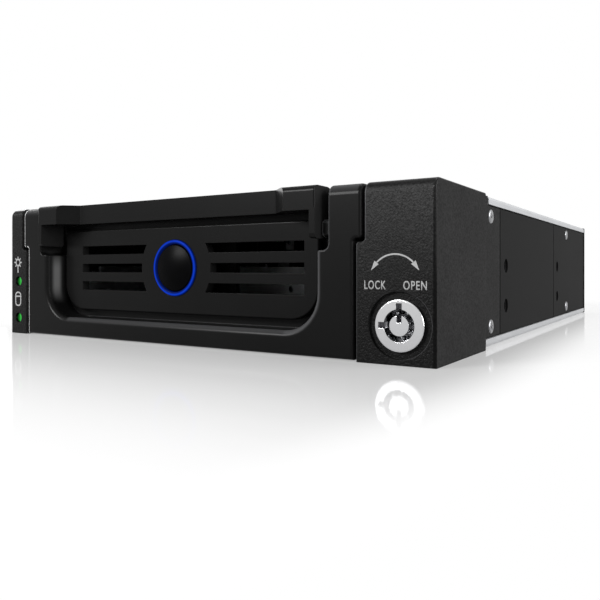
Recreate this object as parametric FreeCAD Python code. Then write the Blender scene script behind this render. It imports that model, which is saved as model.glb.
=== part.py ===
# Hot swap drive cage for one 5.25 inch bay, holding one 3.5 inch drive in a lockable tray.
# Units are millimetres. X runs across the front, Y runs back into the bay, Z is up.
# Pieces are drawn with Y zero on the front face and Z zero on the bottom rest face. They are
# saved about the middle of that rest face, which is the part's origin.
import FreeCAD
import Part
import math
import os

V = FreeCAD.Vector

# ---- cage, overall ----
cage_height = 41.3
face_overhang = 1.5
face_depth = 37.0
front_roll = 2.6
face_edge = 0.45
face_back_edge = 0.4
tray_edge = 0.8
opening_edge = 0.45
wall = 2.0
sheet = 0.8
bend_radius = 1.0
lip_height = 2.2
lip_gap = 0.35
lip_proud = 0.3
cover_setback = 5.2
top_cover_setback = 7.8
collar_wall = 0.6
seam_gap = 0.7
seam_tongue = 5.0
tongue_inset = 6.0

# ---- side mounting holes of the bay standard ----
mount_pitch_y = 79.25
mount_pitch_z = 11.9
mount_first_y = 64.0
mount_low_z = 10.4
mount_hole_r = 1.6
mount_sink_r = 2.1
mount_sink_depth = 0.6
seam_to_mount = 7.0

# ---- tray and the drive it carries ----
drive_width = 101.6
drive_length = 147.0
drive_gap = 0.4
drive_setback = 11.0
drive_hole_r = 1.8
drive_hole_side = 3.175
drive_hole_pitch = 44.45
drive_hole_inset = 41.28
drive_side_inset = 28.5
drive_side_pitch = 101.6
drive_side_z = 6.35
pan_sheet = 1.2
pan_bottom = 3.4
pan_side_height = 19.0
pan_bend = 0.4
pan_setback = 1.0
pan_end_inset = 2.0
pan_notch_low = 3.4
pan_notch_high = 2.0
plug_margin = 2.0
plug_notch = 8.0
vent_length = 22.0
vent_width = 3.6
vent_corner = 1.7
vent_column_pitch = 29.0
vent_row_pitch = 20.0
vent_rows = 6
runner_base = 1.4
runner_ridge = 2.6
runner_height = 7.6
runner_tip = 6.0
ridge_height = 3.6
ridge_z = 15.8
slide_gap = 0.4
rail_back = 3.2
rail_flange = 4.0
rail_foot = 2.4
rail_top = 30.0
rail_overrun = 2.0
rail_slots = 4
rail_slot_gap = 10.0
rail_slot_margin = 2.4

# ---- tray front ----
tray_gap = 0.8
tray_lift = 0.3
top_gap = 0.1
opening_margin = 12.2
step_in = 2.2
step_drop = 13.3
tray_depth = 16.0
shell_wall = 2.0
front_wall = 3.6
skirt_wall = 1.8
skirt_gap = 0.6
skirt_length = 6.0
tunnel_floor = 2.6
tunnel_clear = 0.7
pocket_wall = 7.3
pocket_drop = 2.8
bowl_wall = 10.8
bowl_bottom = 6.2
bowl_corner = 9.4
rim_radius = 1.6
pocket_edge = 0.4
pocket_corner = 1.6
bowl_depth = 8.0
lug_bottom = 7.0
lug_height = 14.0

# ---- handle ----
handle_side_gap = 2.2
handle_block = 8.9
handle_slant = 5.4
handle_height = 5.9
handle_front = -2.5
bar_front = 2.4
handle_back = 6.5
arm_width = 1.6
arm_back = 6.0
arm_heel = 0.8
arm_toe = 1.2
arm_below_pivot = 2.4
pivot_y = 2.2
pivot_drop = 4.3
pin_r = 1.25
pin_run_gap = 0.05
pin_seat_gap = 0.02
pin_reach = 3.6
pin_cover = 0.5
boss_r = 2.2
boss_gap = 0.4

# ---- grille panel ----
panel_gap = 2.2
panel_drop = 1.7
panel_thick = 2.6
panel_corner = 8.4
panel_edge = 0.5
slot_height = 2.65
slot_pitch = 5.55
slot_left_margin = 8.2
slot_right_margin = 4.2
slot_clear_r = 13.2
window_ledge = 3.8
window_margin = 1.4

# ---- button and its light ring ----
button_rise = 0.65
ring_r = 8.1
ring_wall = 1.2
ring_proud = 0.5
button_gap = 0.15
button_travel = 1.2
button_dome = 1.6
button_stand = 1.4
button_thick = 2.0
button_stem_r = 1.6
board_thick = 1.6
panel_standoff = 6.0
standoff_r = 1.8
standoff_x = 12.0
standoff_inset = 3.4
spring_wire = 0.6
spring_r = 5.4
spring_turns = 3.5
switch_body = 6.0
switch_base = 3.0
switch_tip = 1.0
switch_tip_r = 1.7
press_gap = 0.3

# ---- key lock ----
lock_z = 8.8
lock_barrel_r = 5.4
lock_flange = 0.5
lock_ring_gap = 1.6
lock_margin = 1.05
lock_core_r = 3.6
lock_post_r = 2.3
lock_post_length = 5.3
lock_recess = 0.8
lock_recess_edge = 0.2
lock_panel = 3.0
lock_proud = 0.3
lock_length = 19.4
lock_run_gap = 0.06
key_depth = 4.5
notch_width = 1.4
flat_depth = 0.8
clip_rim = 1.1
clip_leg = 5.0
tang_half_x = 2.4
tang_half_z = 1.6
cam_lift = 0.4
cam_thick = 1.5
cam_hub_r = 4.6
cam_reach = 10.8
cam_half = 3.0
cam_screw_head_r = 3.2
switch_width = 12.0
switch_depth = 5.6
switch_rise = 6.4
switch_leg = 3.0
plunger_inset = 3.3
plunger_half = 0.8
plunger_gap = 0.1
plunger_out = 2.4
plunger_travel = 0.8
plunger_spare = 0.6
plunger_rest_gap = 0.3

# ---- status lights ----
light_stile = 5.9
light_inner = 2.1
light_low_z = 5.2
light_pitch = 12.1
light_r = 1.5
light_gap = 0.1
light_sink = 0.6
light_board_setback = 10.0
light_board_thick = 1.2
lamp_size = 2.5
lamp_thick = 1.3
light_board_margin = 6.7

# ---- backplane and rear ----
board_gap = 9.0
board_margin = 2.4
board_window_low = 13.0
board_window_high = 15.0
board_to_fan = 15.0
receptacle_width = 42.0
receptacle_height = 7.0
receptacle_depth = 8.4
receptacle_x = 20.7
receptacle_rise = 1.0
fan_size = 35.0
fan_depth = 10.0
fan_screw_inset = 3.0
fan_side = 28.7
fan_rim = 1.1
fan_flange = 2.4
fan_hub_r = 8.0
fan_web = 1.8
fan_blades = 7
fan_tip_gap = 0.8
shaft_r = 1.0
shaft_gap = 0.05
grille_slot = 2.4
grille_pitch = 4.2
fan_to_power = 14.8
power_width = 23.4
power_height = 10.6
power_depth = 20.0
power_pitch = 5.08
power_hole_r = 2.1
power_pin_r = 1.0
power_to_data = 7.8
data_width = 17.0
data_height = 6.2
data_depth = 9.0
socket_z = 5.0
window_gap = 2.5
rib_width = 4.0

# ---- fasteners ----
side_screw_r = 1.25
side_head_r = 2.0
side_head = 0.7
side_screw_length = 3.6
side_screw_inset = 5.4
side_screw_setback = 5.4
rear_screw_setback = 20.0
rail_screw_front = 14.0
rail_screw_rear = 36.0
rail_screw_length = 5.0
flat_head = 1.1
fan_screw_length = 8.0
fan_head_r = 2.3
fan_head = 0.9
small_screw_r = 0.8
small_head_r = 1.7
small_head = 0.8
tray_screw_length = 4.4
tray_screw_inset = 2.6
tray_screw_low = 9.5
tray_screw_pitch = 8.5
board_screw_length = 5.0
screw_gap = 0.05
cover_tab = 8.0
tab_shift = 2.2

# ---- widths and side to side places, worked out from the sizes above ----
lock_face_r = lock_barrel_r + lock_flange
lock_recess_r = lock_face_r + lock_ring_gap
lock_stile = 2 * (lock_recess_r + lock_margin)
opening_upper = drive_width / 2 + opening_margin
opening_lower = opening_upper - step_in
face_width = light_stile + 2 * opening_upper + lock_stile
body_width = face_width - 2 * face_overhang
tray_x = (light_stile - lock_stile) / 2
half_face = face_width / 2
half_body = body_width / 2
panel_out = half_body - lip_proud
panel_in = panel_out - wall
under_lip = half_body - sheet - lip_proud
pocket_half = opening_lower - pocket_wall
bowl_half = opening_lower - bowl_wall
handle_half = pocket_half - handle_side_gap
panel_half = bowl_half - panel_gap
slot_left = panel_half - slot_left_margin
slot_right = panel_half - slot_right_margin
window_half = panel_half - window_ledge
pan_half = drive_width / 2 + drive_gap + pan_sheet
runner_half = pan_half + runner_base
ridge_half = runner_half + runner_ridge
rail_in = runner_half + slide_gap
rail_groove = ridge_half + slide_gap
rail_out = rail_groove + rail_back
tunnel_half = rail_groove + tunnel_clear
skirt_half = tunnel_half - skirt_gap
drive_hole_x = drive_width / 2 - drive_hole_side
lock_x = half_face - lock_stile / 2
key_switch_x = tray_x + tunnel_half + wall
plunger_x = key_switch_x + plunger_inset
light_x = light_stile - light_inner - half_face
fan_x = fan_side - panel_in
power_x = fan_x + fan_size / 2 + fan_to_power + power_width / 2
data_x = power_x + power_width / 2 + power_to_data + data_width / 2

# ---- depths ----
drive_start = tray_depth + drive_setback
drive_end = drive_start + drive_length
pan_start = tray_depth + pan_setback
pan_floor_start = tray_depth + skirt_length + slide_gap
pan_end = drive_end - pan_end_inset
rail_end = drive_end + rail_overrun
board_y = drive_end + board_gap
board_back = board_y + board_thick
receptacle_front = board_y - receptacle_depth
fan_front = board_back + board_to_fan
cover_end = fan_front + fan_depth
cage_depth = cover_end + wall
cover_start = face_depth + cover_setback
top_cover_start = face_depth + top_cover_setback
front_seam = mount_first_y - seam_to_mount
mount_second_y = mount_first_y + mount_pitch_y
rear_seam = mount_second_y - seam_to_mount
side_screw_front = cover_start + side_screw_setback
side_screw_rear = board_y - rear_screw_setback
panel_back = bowl_depth
panel_front = bowl_depth - panel_thick
switch_board_y = panel_back + panel_standoff
switch_front = switch_board_y - switch_base - switch_tip
ring_front = panel_front - ring_proud
button_front = panel_front - button_stand
button_back = panel_front + button_thick
lock_wall_y = lock_recess + lock_panel
lock_back = lock_length
cam_front = lock_back + cam_lift
cam_back = cam_front + cam_thick
plunger_inside = plunger_travel + plunger_spare
plunger_tip = cam_back + plunger_rest_gap
key_switch_front = plunger_tip + plunger_out
light_board_y = tray_depth + light_board_setback
middle_y = (handle_front + cage_depth + fan_head) / 2

# ---- heights ----
mid_z = cage_height / 2
tray_top = cage_height - top_gap
tunnel_top = cage_height - tunnel_floor
step_z = cage_height - step_drop
handle_bottom = tray_top - handle_height
pivot_z = handle_bottom - pivot_drop
arm_bottom = pivot_z - arm_below_pivot
pocket_floor = arm_bottom - pocket_drop
panel_bottom = bowl_bottom + panel_gap
panel_top = handle_bottom - panel_drop
button_z = (panel_bottom + panel_top) / 2 + button_rise
ring_bore = ring_r - ring_wall
drive_bottom = pan_bottom + pan_sheet
fan_pitch = fan_size - 2 * fan_screw_inset
fan_bore_r = fan_size / 2 - fan_rim


# ---- shape helpers ----
def block(x0, x1, y0, y1, z0, z1):
    return Part.makeBox(x1 - x0, y1 - y0, z1 - z0, V(x0, y0, z0))


def rod_x(y, z, r, x0, x1):
    return Part.makeCylinder(r, x1 - x0, V(x0, y, z), V(1, 0, 0))


def rod_y(x, z, r, y0, y1):
    return Part.makeCylinder(r, y1 - y0, V(x, y0, z), V(0, 1, 0))


def rod_z(x, y, r, z0, z1):
    return Part.makeCylinder(r, z1 - z0, V(x, y, z0), V(0, 0, 1))


def rounded_face(corners, place):
    """Flat face from corners (a, b, radius); place(a, b) turns a corner into a point."""
    starts = []
    ends = []
    mids = []
    count = len(corners)
    for i, (a, b, radius) in enumerate(corners):
        here = V(a, b, 0)
        before = V(corners[i - 1][0], corners[i - 1][1], 0) - here
        after = V(corners[(i + 1) % count][0], corners[(i + 1) % count][1], 0) - here
        before.normalize()
        after.normalize()
        half = before.getAngle(after) / 2
        reach = radius / math.tan(half)
        middle = before + after
        if radius > 0:
            middle.normalize()
        starts.append(here + before * reach)
        ends.append(here + after * reach)
        mids.append(here + middle * (radius / math.sin(half) - radius))
    edges = []
    for i in range(count):
        if corners[i][2] > 0:
            arc = Part.Arc(place(starts[i].x, starts[i].y), place(mids[i].x, mids[i].y),
                           place(ends[i].x, ends[i].y))
            edges.append(arc.toShape())
        following = starts[(i + 1) % count]
        if ends[i].distanceToPoint(following) > 1e-6:
            line = Part.LineSegment(place(ends[i].x, ends[i].y), place(following.x, following.y))
            edges.append(line.toShape())
    return Part.Face(Part.Wire(edges))


def along_x(corners, x0, x1):
    face = rounded_face(corners, lambda a, b: V(x0, a, b))
    return face.extrude(V(x1 - x0, 0, 0))


def along_y(corners, y0, y1):
    face = rounded_face(corners, lambda a, b: V(a, y0, b))
    return face.extrude(V(0, y1 - y0, 0))


def along_z(corners, z0, z1):
    face = rounded_face(corners, lambda a, b: V(a, b, z0))
    return face.extrude(V(0, 0, z1 - z0))


def rectangle(a0, a1, b0, b1, radius=0.0):
    return [(a0, b0, radius), (a1, b0, radius), (a1, b1, radius), (a0, b1, radius)]


def edges_where(shape, test):
    """Edges whose two ends and middle all pass the test."""
    found = []
    for edge in shape.Edges:
        first, last = edge.ParameterRange
        points = [edge.valueAt(first), edge.valueAt((first + last) / 2), edge.valueAt(last)]
        if all(test(point) for point in points):
            found.append(edge)
    return found


def at_y(value):
    return lambda point: abs(point.y - value) < 1e-4


def mirror_x(shape, x):
    return shape.mirror(V(x, 0, 0), V(1, 0, 0))


def mirror_z(shape, z):
    return shape.mirror(V(0, 0, z), V(0, 0, 1))


def both_sides(shape):
    """A shape and its mirror image across the tray's centre plane."""
    return [shape, mirror_x(shape, tray_x)]


def save(name, shape):
    moved = shape.copy()
    moved.translate(V(0, -middle_y, 0))
    moved.exportStep("parts/" + name + ".step")


# ---- cage body ----
def body_section(y0, y1):
    """Full section of the cage body: wide between the cover lips, narrower behind them."""
    low = lip_height + lip_gap
    wide = block(-panel_out, panel_out, y0, y1, low, cage_height - low)
    tall = along_y(rectangle(-under_lip, under_lip, sheet, cage_height - sheet, bend_radius - sheet), y0, y1)
    return wide.fuse(tall).removeSplitter()


def side_screw_places(y):
    places = []
    for side in (-1, 1):
        for z in (side_screw_inset, cage_height - side_screw_inset):
            places.append((side, y, z))
    return places


def side_holes(y):
    """Clearance holes through both side walls for the cover screws at one depth."""
    holes = []
    for side, hole_y, z in side_screw_places(y):
        x = side * (panel_out - wall / 2)
        holes.append(rod_x(hole_y, z, side_screw_r + screw_gap, x - wall, x + wall))
    return holes


def mount_holes(y):
    """The two bay mounting holes in each side wall at one depth, each with a shallow sink."""
    holes = []
    for side in (-1, 1):
        for z in (mount_low_z, mount_low_z + mount_pitch_z):
            x = side * (panel_out - wall / 2)
            holes.append(rod_x(y, z, mount_hole_r, x - 3 * wall, x + wall))
            face_x = side * panel_out
            holes.append(rod_x(y, z, mount_sink_r, face_x - mount_sink_depth, face_x + mount_sink_depth))
    return holes


def tee_outline(upper, lower, step, bottom, top, radius):
    """Front outline of the tray or its opening: wide above the step, narrower below it."""
    return [
        (tray_x - lower, bottom, radius), (tray_x + lower, bottom, radius),
        (tray_x + lower, step, radius), (tray_x + upper, step, radius),
        (tray_x + upper, top, radius), (tray_x - upper, top, radius),
        (tray_x - upper, step, radius), (tray_x - lower, step, radius),
    ]


def front_profile(bottom, top, back):
    """Side outline of a front moulding, whose face rolls over into its top."""
    return [(0, bottom, 0), (back, bottom, 0), (back, top, 0), (0, top, front_roll)]


def front_housing():
    shell = along_x(front_profile(0, cage_height, face_depth), -half_face, half_face)
    sides = edges_where(shell, lambda p: abs(p.y) < 1e-4 and abs(p.x) > half_face - 1e-4)
    shell = shell.makeFillet(face_edge, sides)
    backs = edges_where(shell, lambda p: abs(p.y - face_depth) < 1e-4 and abs(p.x) > half_face - 1e-4)
    shell = shell.makeFillet(face_back_edge, backs)
    opening = along_y(tee_outline(opening_upper, opening_lower, step_z - tray_gap / 2,
                                  -face_depth, cage_height + face_depth, tray_edge),
                      -1, tray_depth + tray_gap)
    shell = shell.cut(opening)
    rim = edges_where(shell, lambda p: abs(p.y) < 1e-4 and abs(p.x - tray_x) < opening_upper + 0.01)
    shell = shell.makeFillet(opening_edge, rim)
    neck = block(-panel_out, panel_out, face_depth - wall, cover_start, 0, cage_height)
    collar = block(-panel_out, panel_out, face_depth, top_cover_start, mid_z, cage_height)
    shell = shell.fuse([neck, collar, body_section(cover_start, front_seam)]).removeSplitter()
    tunnel = block(tray_x - tunnel_half, tray_x + tunnel_half, tray_depth, front_seam + 1,
                   tunnel_floor, tunnel_top)
    pocket_y = tray_depth + tray_gap + wall
    left_in = tray_x - tunnel_half - wall
    right_in = tray_x + tunnel_half + wall
    low = wall
    high = cage_height - wall
    left_pocket = block(-panel_in, left_in, pocket_y, front_seam + 1, low, high)
    light_pocket = block(wall - half_face, left_in, pocket_y, face_depth - wall, low, high)
    right_pocket = block(right_in, panel_in, pocket_y, front_seam + 1, low, high)
    lock_pocket = block(tray_x + opening_upper + wall, half_face - wall, lock_wall_y,
                        face_depth - wall, low, high)
    open_y = top_cover_start + collar_wall
    left_open = block(-panel_in, left_in, open_y, front_seam + 1, -1, cage_height + 1)
    right_open = block(right_in, panel_in, open_y, front_seam + 1, -1, cage_height + 1)
    recess = rod_y(lock_x, lock_z, lock_recess_r, -1, lock_recess)
    shell = shell.cut(recess)
    recess_rim = edges_where(shell, lambda p: abs(p.y) < 1e-4 and p.distanceToPoint(V(lock_x, 0, lock_z))
                             < lock_recess_r + 0.01)
    shell = shell.makeFillet(lock_recess_edge, recess_rim)
    bore = rod_y(lock_x, lock_z, lock_barrel_r + lock_run_gap, -1, lock_wall_y + 1)
    cuts = [tunnel, left_pocket, light_pocket, right_pocket, lock_pocket, left_open, right_open, bore]
    for z in light_heights():
        cuts.append(rod_y(light_x, z, light_r + light_gap, -1, pocket_y + 1))
    return shell.cut(cuts + side_holes(side_screw_front))


def side_plates():
    """Left and right middle panels, each with two tongues that slip behind the housings."""
    plates = body_section(front_seam + seam_gap, rear_seam - seam_gap)
    plates = plates.cut(block(-panel_in, panel_in, front_seam, rear_seam, -1, cage_height + 1))
    tongue_low = side_screw_inset + tongue_inset
    tongue = block(panel_in - wall / 2, panel_in, front_seam - seam_tongue, rear_seam + seam_tongue,
                   tongue_low, cage_height - tongue_low)
    tongues = [tongue, mirror_x(tongue, 0)]
    plates = plates.fuse(tongues).cut(mount_holes(mount_first_y) + mount_holes(mount_second_y))
    left = plates.common(block(-half_face, 0, 0, cage_depth, -1, cage_height + 1))
    right = plates.common(block(0, half_face, 0, cage_depth, -1, cage_height + 1))
    return left, right


def rear_grille():
    """Ring slots of the fan opening, left joined by four spokes."""
    rings = []
    for i in range(3):
        outer = fan_bore_r - fan_tip_gap - i * grille_pitch
        ring = rod_y(fan_x, mid_z, outer, cover_end - 1, cage_depth + 1)
        rings.append(ring.cut(rod_y(fan_x, mid_z, outer - grille_slot, cover_end - 2, cage_depth + 2)))
    spoke = block(fan_x - fan_size, fan_x + fan_size, cover_end - 2, cage_depth + 2,
                  mid_z - wall / 2, mid_z + wall / 2)
    spokes = []
    for angle in (45, 135):
        turned = spoke.copy()
        turned.rotate(V(fan_x, 0, mid_z), V(0, 1, 0), angle)
        spokes.append(turned)
    return [ring.cut(spokes) for ring in rings]


def rear_housing():
    shell = body_section(rear_seam, cover_end)
    shell = shell.cut(block(-panel_in, panel_in, rear_seam - 1, cover_end + 1, -1, cage_height + 1))
    back = along_y(rectangle(-half_body, half_body, 0, cage_height, face_edge), cover_end, cage_depth)
    bar = block(-panel_in, panel_in, rail_end + slide_gap, board_y - wall, sheet, tunnel_floor)
    top_bar = block(-panel_in, panel_in, rear_seam, rear_seam + 3 * wall, tunnel_top,
                    cage_height - sheet)
    ribs = []
    for y0, y1 in ((board_y - wall, board_y - screw_gap), (board_back + screw_gap, board_back + wall)):
        rib = block(panel_in - rib_width, panel_in, y0, y1, sheet, cage_height - sheet)
        ribs += [rib, mirror_x(rib, 0)]
    shell = shell.fuse([back, bar, top_bar] + ribs).removeSplitter()
    window = along_y(rectangle(power_x - power_width / 2 - window_gap, data_x + data_width / 2 + window_gap,
                               socket_z - window_gap, socket_z + power_height + window_gap, 1.0),
                     cover_end - 1, cage_depth + 1)
    cuts = rear_grille() + [window]
    for x, z in fan_screw_places():
        cuts.append(rod_y(x, z, side_screw_r + screw_gap, cover_end - 1, cage_depth + 1))
    return shell.cut(cuts + side_holes(side_screw_rear) + mount_holes(mount_second_y))


def bottom_cover():
    inner = half_body - sheet
    outline = [
        (-half_body, 0, bend_radius), (half_body, 0, bend_radius), (half_body, lip_height, 0),
        (inner, lip_height, 0), (inner, sheet, bend_radius - sheet), (-inner, sheet, bend_radius - sheet),
        (-inner, lip_height, 0), (-half_body, lip_height, 0),
    ]
    cover = along_y(outline, cover_start, cover_end)
    tabs = []
    for y in (side_screw_front, side_screw_rear):
        start = y + tab_shift - cover_tab / 2
        tab = along_x(rectangle(start, start + cover_tab, sheet / 2, side_screw_inset + cover_tab / 2),
                      panel_in - sheet, panel_in)
        tab = tab.cut(rod_x(y, side_screw_inset, side_screw_r + screw_gap, panel_in - 2, panel_in + 2))
        tabs += [tab, mirror_x(tab, 0)]
    return cover.fuse(tabs).removeSplitter()


def rail_screw_places():
    places = []
    for side in (-1, 1):
        for y in (front_seam + rail_screw_front, rail_end - rail_screw_rear):
            places.append((tray_x + side * (rail_out + rail_flange / 2), y))
    return places


def flat_screw(x, y):
    """Countersunk screw seated flush in the bottom cover."""
    head = Part.makeCone(side_screw_r + flat_head, side_screw_r, sheet - screw_gap, V(x, y, screw_gap / 2),
                         V(0, 0, 1))
    return head.fuse(rod_z(x, y, side_screw_r, sheet / 2, rail_screw_length))


def flat_screw_hole(x, y):
    cone = Part.makeCone(side_screw_r + flat_head + screw_gap, side_screw_r + screw_gap, sheet,
                         V(x, y, 0), V(0, 0, 1))
    return cone.fuse(rod_z(x, y, side_screw_r + screw_gap, sheet / 2, rail_screw_length + screw_gap))


def guide_rail(side):
    def x(distance):
        return tray_x + side * distance
    low = ridge_z - ridge_height / 2 - slide_gap / 2
    high = ridge_z + ridge_height / 2 + slide_gap / 2
    edge = 0.4
    outline = [
        (x(rail_in), sheet, 0), (x(rail_out + rail_flange), sheet, 0),
        (x(rail_out + rail_flange), sheet + rail_foot, edge), (x(rail_out), sheet + rail_foot, 2 * edge),
        (x(rail_out), rail_top, 2 * edge), (x(rail_in), rail_top, edge),
        (x(rail_in), high, edge), (x(rail_groove), high, edge), (x(rail_groove), low, edge),
        (x(rail_in), low, edge),
    ]
    rail = along_y(outline, front_seam + seam_gap, rail_end)
    cuts = []
    pitch = (rail_end - front_seam - rail_slot_gap) / rail_slots
    for i in range(rail_slots):
        y0 = front_seam + rail_slot_gap + i * pitch
        y1 = y0 + pitch - rail_slot_gap
        for z0, z1 in ((sheet + rail_foot + rail_slot_margin, low - rail_slot_margin),
                       (high + rail_slot_margin, rail_top - rail_slot_margin)):
            ends = sorted((x(rail_in - 1), x(rail_out + 1)))
            cuts.append(along_x(rectangle(y0, y1, z0, z1, 1.5), ends[0], ends[1]))
    for screw_x, screw_y in rail_screw_places():
        cuts.append(flat_screw_hole(screw_x, screw_y))
    return rail.cut(cuts)


# ---- fasteners of the cage ----
def pan_screw(start, direction, length, radius, head_radius, head):
    """Pan head screw; start is the centre of the seat under the head."""
    back = V(direction) * -1
    domed = Part.makeCylinder(head_radius, head, start, back)
    rim = edges_where(domed, lambda p: abs((p - start).dot(back) - head) < 1e-4)
    domed = domed.makeFillet(head * 0.45, rim)
    return domed.fuse(Part.makeCylinder(radius, length, start, direction))


def side_screws():
    screws = []
    for y in (side_screw_front, side_screw_rear):
        for side, screw_y, z in side_screw_places(y):
            seat = V(side * panel_out, screw_y, z)
            screws.append(pan_screw(seat, V(-side, 0, 0), side_screw_length, side_screw_r,
                                    side_head_r, side_head))
    return Part.makeCompound(screws)


# ---- rear electronics and fan ----
def backplane_board():
    board = block(screw_gap - panel_in, panel_in - screw_gap, board_y, board_back, sheet + board_margin,
                  cage_height - sheet - board_margin)
    window = along_y(rectangle(fan_x - fan_bore_r, fan_x + fan_bore_r, mid_z - board_window_low,
                               mid_z + board_window_high, 3.0),
                     board_y - 1, board_back + 1)
    return board.cut(window)


def drive_receptacle():
    centre = tray_x + receptacle_x
    z0 = drive_bottom + receptacle_rise
    half = receptacle_width / 2
    body = block(centre - half, centre + half, receptacle_front, board_y, z0, z0 + receptacle_height)
    slot = block(centre - half + 2, centre + half - 2, receptacle_front - 1, receptacle_front + 5.5,
                 z0 + 2.0, z0 + 4.6)
    key = block(centre + 3.4, centre + 4.8, receptacle_front - 1, receptacle_front + 5.5,
                z0 + 2.0, z0 + 5.6)
    return body.cut([slot, key])


def power_socket():
    half = power_width / 2
    top = socket_z + power_height
    outline = [
        (power_x - half, socket_z, 0), (power_x + half, socket_z, 0), (power_x + half, top - 2, 0),
        (power_x + half - 2, top, 0), (power_x - half + 2, top, 0), (power_x - half, top - 2, 0),
    ]
    body = along_y(outline, board_back, board_back + power_depth)
    back = board_back + power_depth
    middle = socket_z + power_height / 2
    holes = []
    pins = []
    for i in range(4):
        x = power_x + (i - 1.5) * power_pitch
        holes.append(rod_y(x, middle, power_hole_r, board_back + 3, back + 1))
        pins.append(rod_y(x, middle, power_pin_r, board_back + 2, back - 4))
    return body.cut(holes).fuse(pins)


def data_socket():
    half = data_width / 2
    body = block(data_x - half, data_x + half, board_back, board_back + data_depth,
                 socket_z, socket_z + data_height)
    cavity = along_y([
        (data_x - 5.6, socket_z + 1.4, 0), (data_x + 5.6, socket_z + 1.4, 0),
        (data_x + 5.6, socket_z + 4.8, 0), (data_x + 4.2, socket_z + 4.8, 0),
        (data_x + 4.2, socket_z + 3.6, 0), (data_x - 5.6, socket_z + 3.6, 0),
    ], board_back + 3, board_back + data_depth + 1)
    tongue = block(data_x - 4.6, data_x + 4.6, board_back + 2, board_back + data_depth - 1,
                   socket_z + 2.0, socket_z + 3.0)
    return body.cut(cavity).fuse(tongue)


def fan_screw_places():
    places = []
    for i in (-1, 1):
        for j in (-1, 1):
            places.append((fan_x + i * fan_pitch / 2, mid_z + j * fan_pitch / 2))
    return places


def fan_frame():
    half = fan_size / 2
    frame = along_y(rectangle(fan_x - half, fan_x + half, mid_z - half, mid_z + half, 2.5),
                    fan_front, cover_end)
    waist = block(fan_x - half - 1, fan_x + half + 1, fan_front + fan_flange,
                  cover_end - fan_flange, mid_z - half - 1, mid_z + half + 1)
    waist = waist.cut(rod_y(fan_x, mid_z, half - 0.3, fan_front, cover_end))
    frame = frame.cut([waist, rod_y(fan_x, mid_z, fan_bore_r, fan_front - 1, cover_end + 1)])
    hub = rod_y(fan_x, mid_z, fan_hub_r, cover_end - fan_web, cover_end)
    spokes = []
    for i in range(4):
        spoke = block(fan_x, fan_x + fan_bore_r + 0.5, cover_end - fan_web, cover_end - 0.2,
                      mid_z - 0.8, mid_z + 0.8)
        spoke.rotate(V(fan_x, 0, mid_z), V(0, 1, 0), i * 90)
        spokes.append(spoke)
    frame = frame.fuse([hub] + spokes)
    holes = [rod_y(x, z, side_screw_r + screw_gap, fan_front - 1, cover_end + 1)
             for x, z in fan_screw_places()]
    holes.append(rod_y(fan_x, mid_z, shaft_r + shaft_gap, cover_end - 3, cover_end - 0.4))
    return frame.cut(holes)


def fan_blade():
    """One pitched blade, lofted from a steep root section to a flatter tip section."""
    sections = []
    middle = (fan_front + cover_end - fan_web) / 2
    for radius, chord, pitch, thick in ((fan_hub_r - 0.6, 6.2, 50, 1.1),
                                        (fan_bore_r - fan_tip_gap, 8.6, 30, 0.7)):
        angle = math.radians(pitch)
        along = V(math.cos(angle), math.sin(angle), 0) * (chord / 2)
        across = V(-math.sin(angle), math.cos(angle), 0) * (thick / 2)
        centre = V(fan_x, middle, mid_z + radius)
        points = [centre - along - across, centre + along - across, centre + along + across,
                  centre - along + across]
        sections.append(Part.makePolygon(points + [points[0]]))
    return Part.makeLoft(sections, True, True)


def fan_rotor():
    front = fan_front + fan_tip_gap
    hub = rod_y(fan_x, mid_z, fan_hub_r, front, cover_end - fan_web - slide_gap)
    hub = hub.makeFillet(0.8, edges_where(hub, at_y(front)))
    blades = []
    for i in range(fan_blades):
        blade = fan_blade()
        blade.rotate(V(fan_x, 0, mid_z), V(0, 1, 0), i * 360.0 / fan_blades)
        blades.append(blade)
    shaft = rod_y(fan_x, mid_z, shaft_r, cover_end - fan_web - 2 * slide_gap, cover_end - 0.8)
    return hub.fuse(blades + [shaft])


def fan_screws():
    screws = []
    for x, z in fan_screw_places():
        screws.append(pan_screw(V(x, cage_depth, z), V(0, -1, 0), fan_screw_length, side_screw_r,
                                fan_head_r, fan_head))
    return Part.makeCompound(screws)


# ---- key lock and its switch ----
def lock_body():
    head = rod_y(lock_x, lock_z, lock_face_r, -lock_proud, lock_recess)
    head = head.makeFillet(0.35, edges_where(head, at_y(-lock_proud)))
    barrel = rod_y(lock_x, lock_z, lock_barrel_r, lock_recess, lock_back)
    body = head.fuse(barrel)
    bore = rod_y(lock_x, lock_z, lock_core_r + lock_run_gap, -1, lock_back + 1)
    half = notch_width / 2
    reach = lock_face_r - 0.9
    top_notch = block(lock_x - half, lock_x + half, -1, lock_recess + 1, lock_z, lock_z + reach)
    side_notch = block(lock_x - reach, lock_x, -1, lock_recess + 1, lock_z - half, lock_z + half)
    groove = rod_y(lock_x, lock_z, lock_barrel_r + 1, lock_wall_y, lock_wall_y + sheet)
    flat = lock_barrel_r - flat_depth
    groove = groove.cut(block(lock_x - flat, lock_x + flat, 0, lock_back, lock_z - 9, lock_z + 9))
    return body.cut([bore, top_notch, side_notch, groove])


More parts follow.
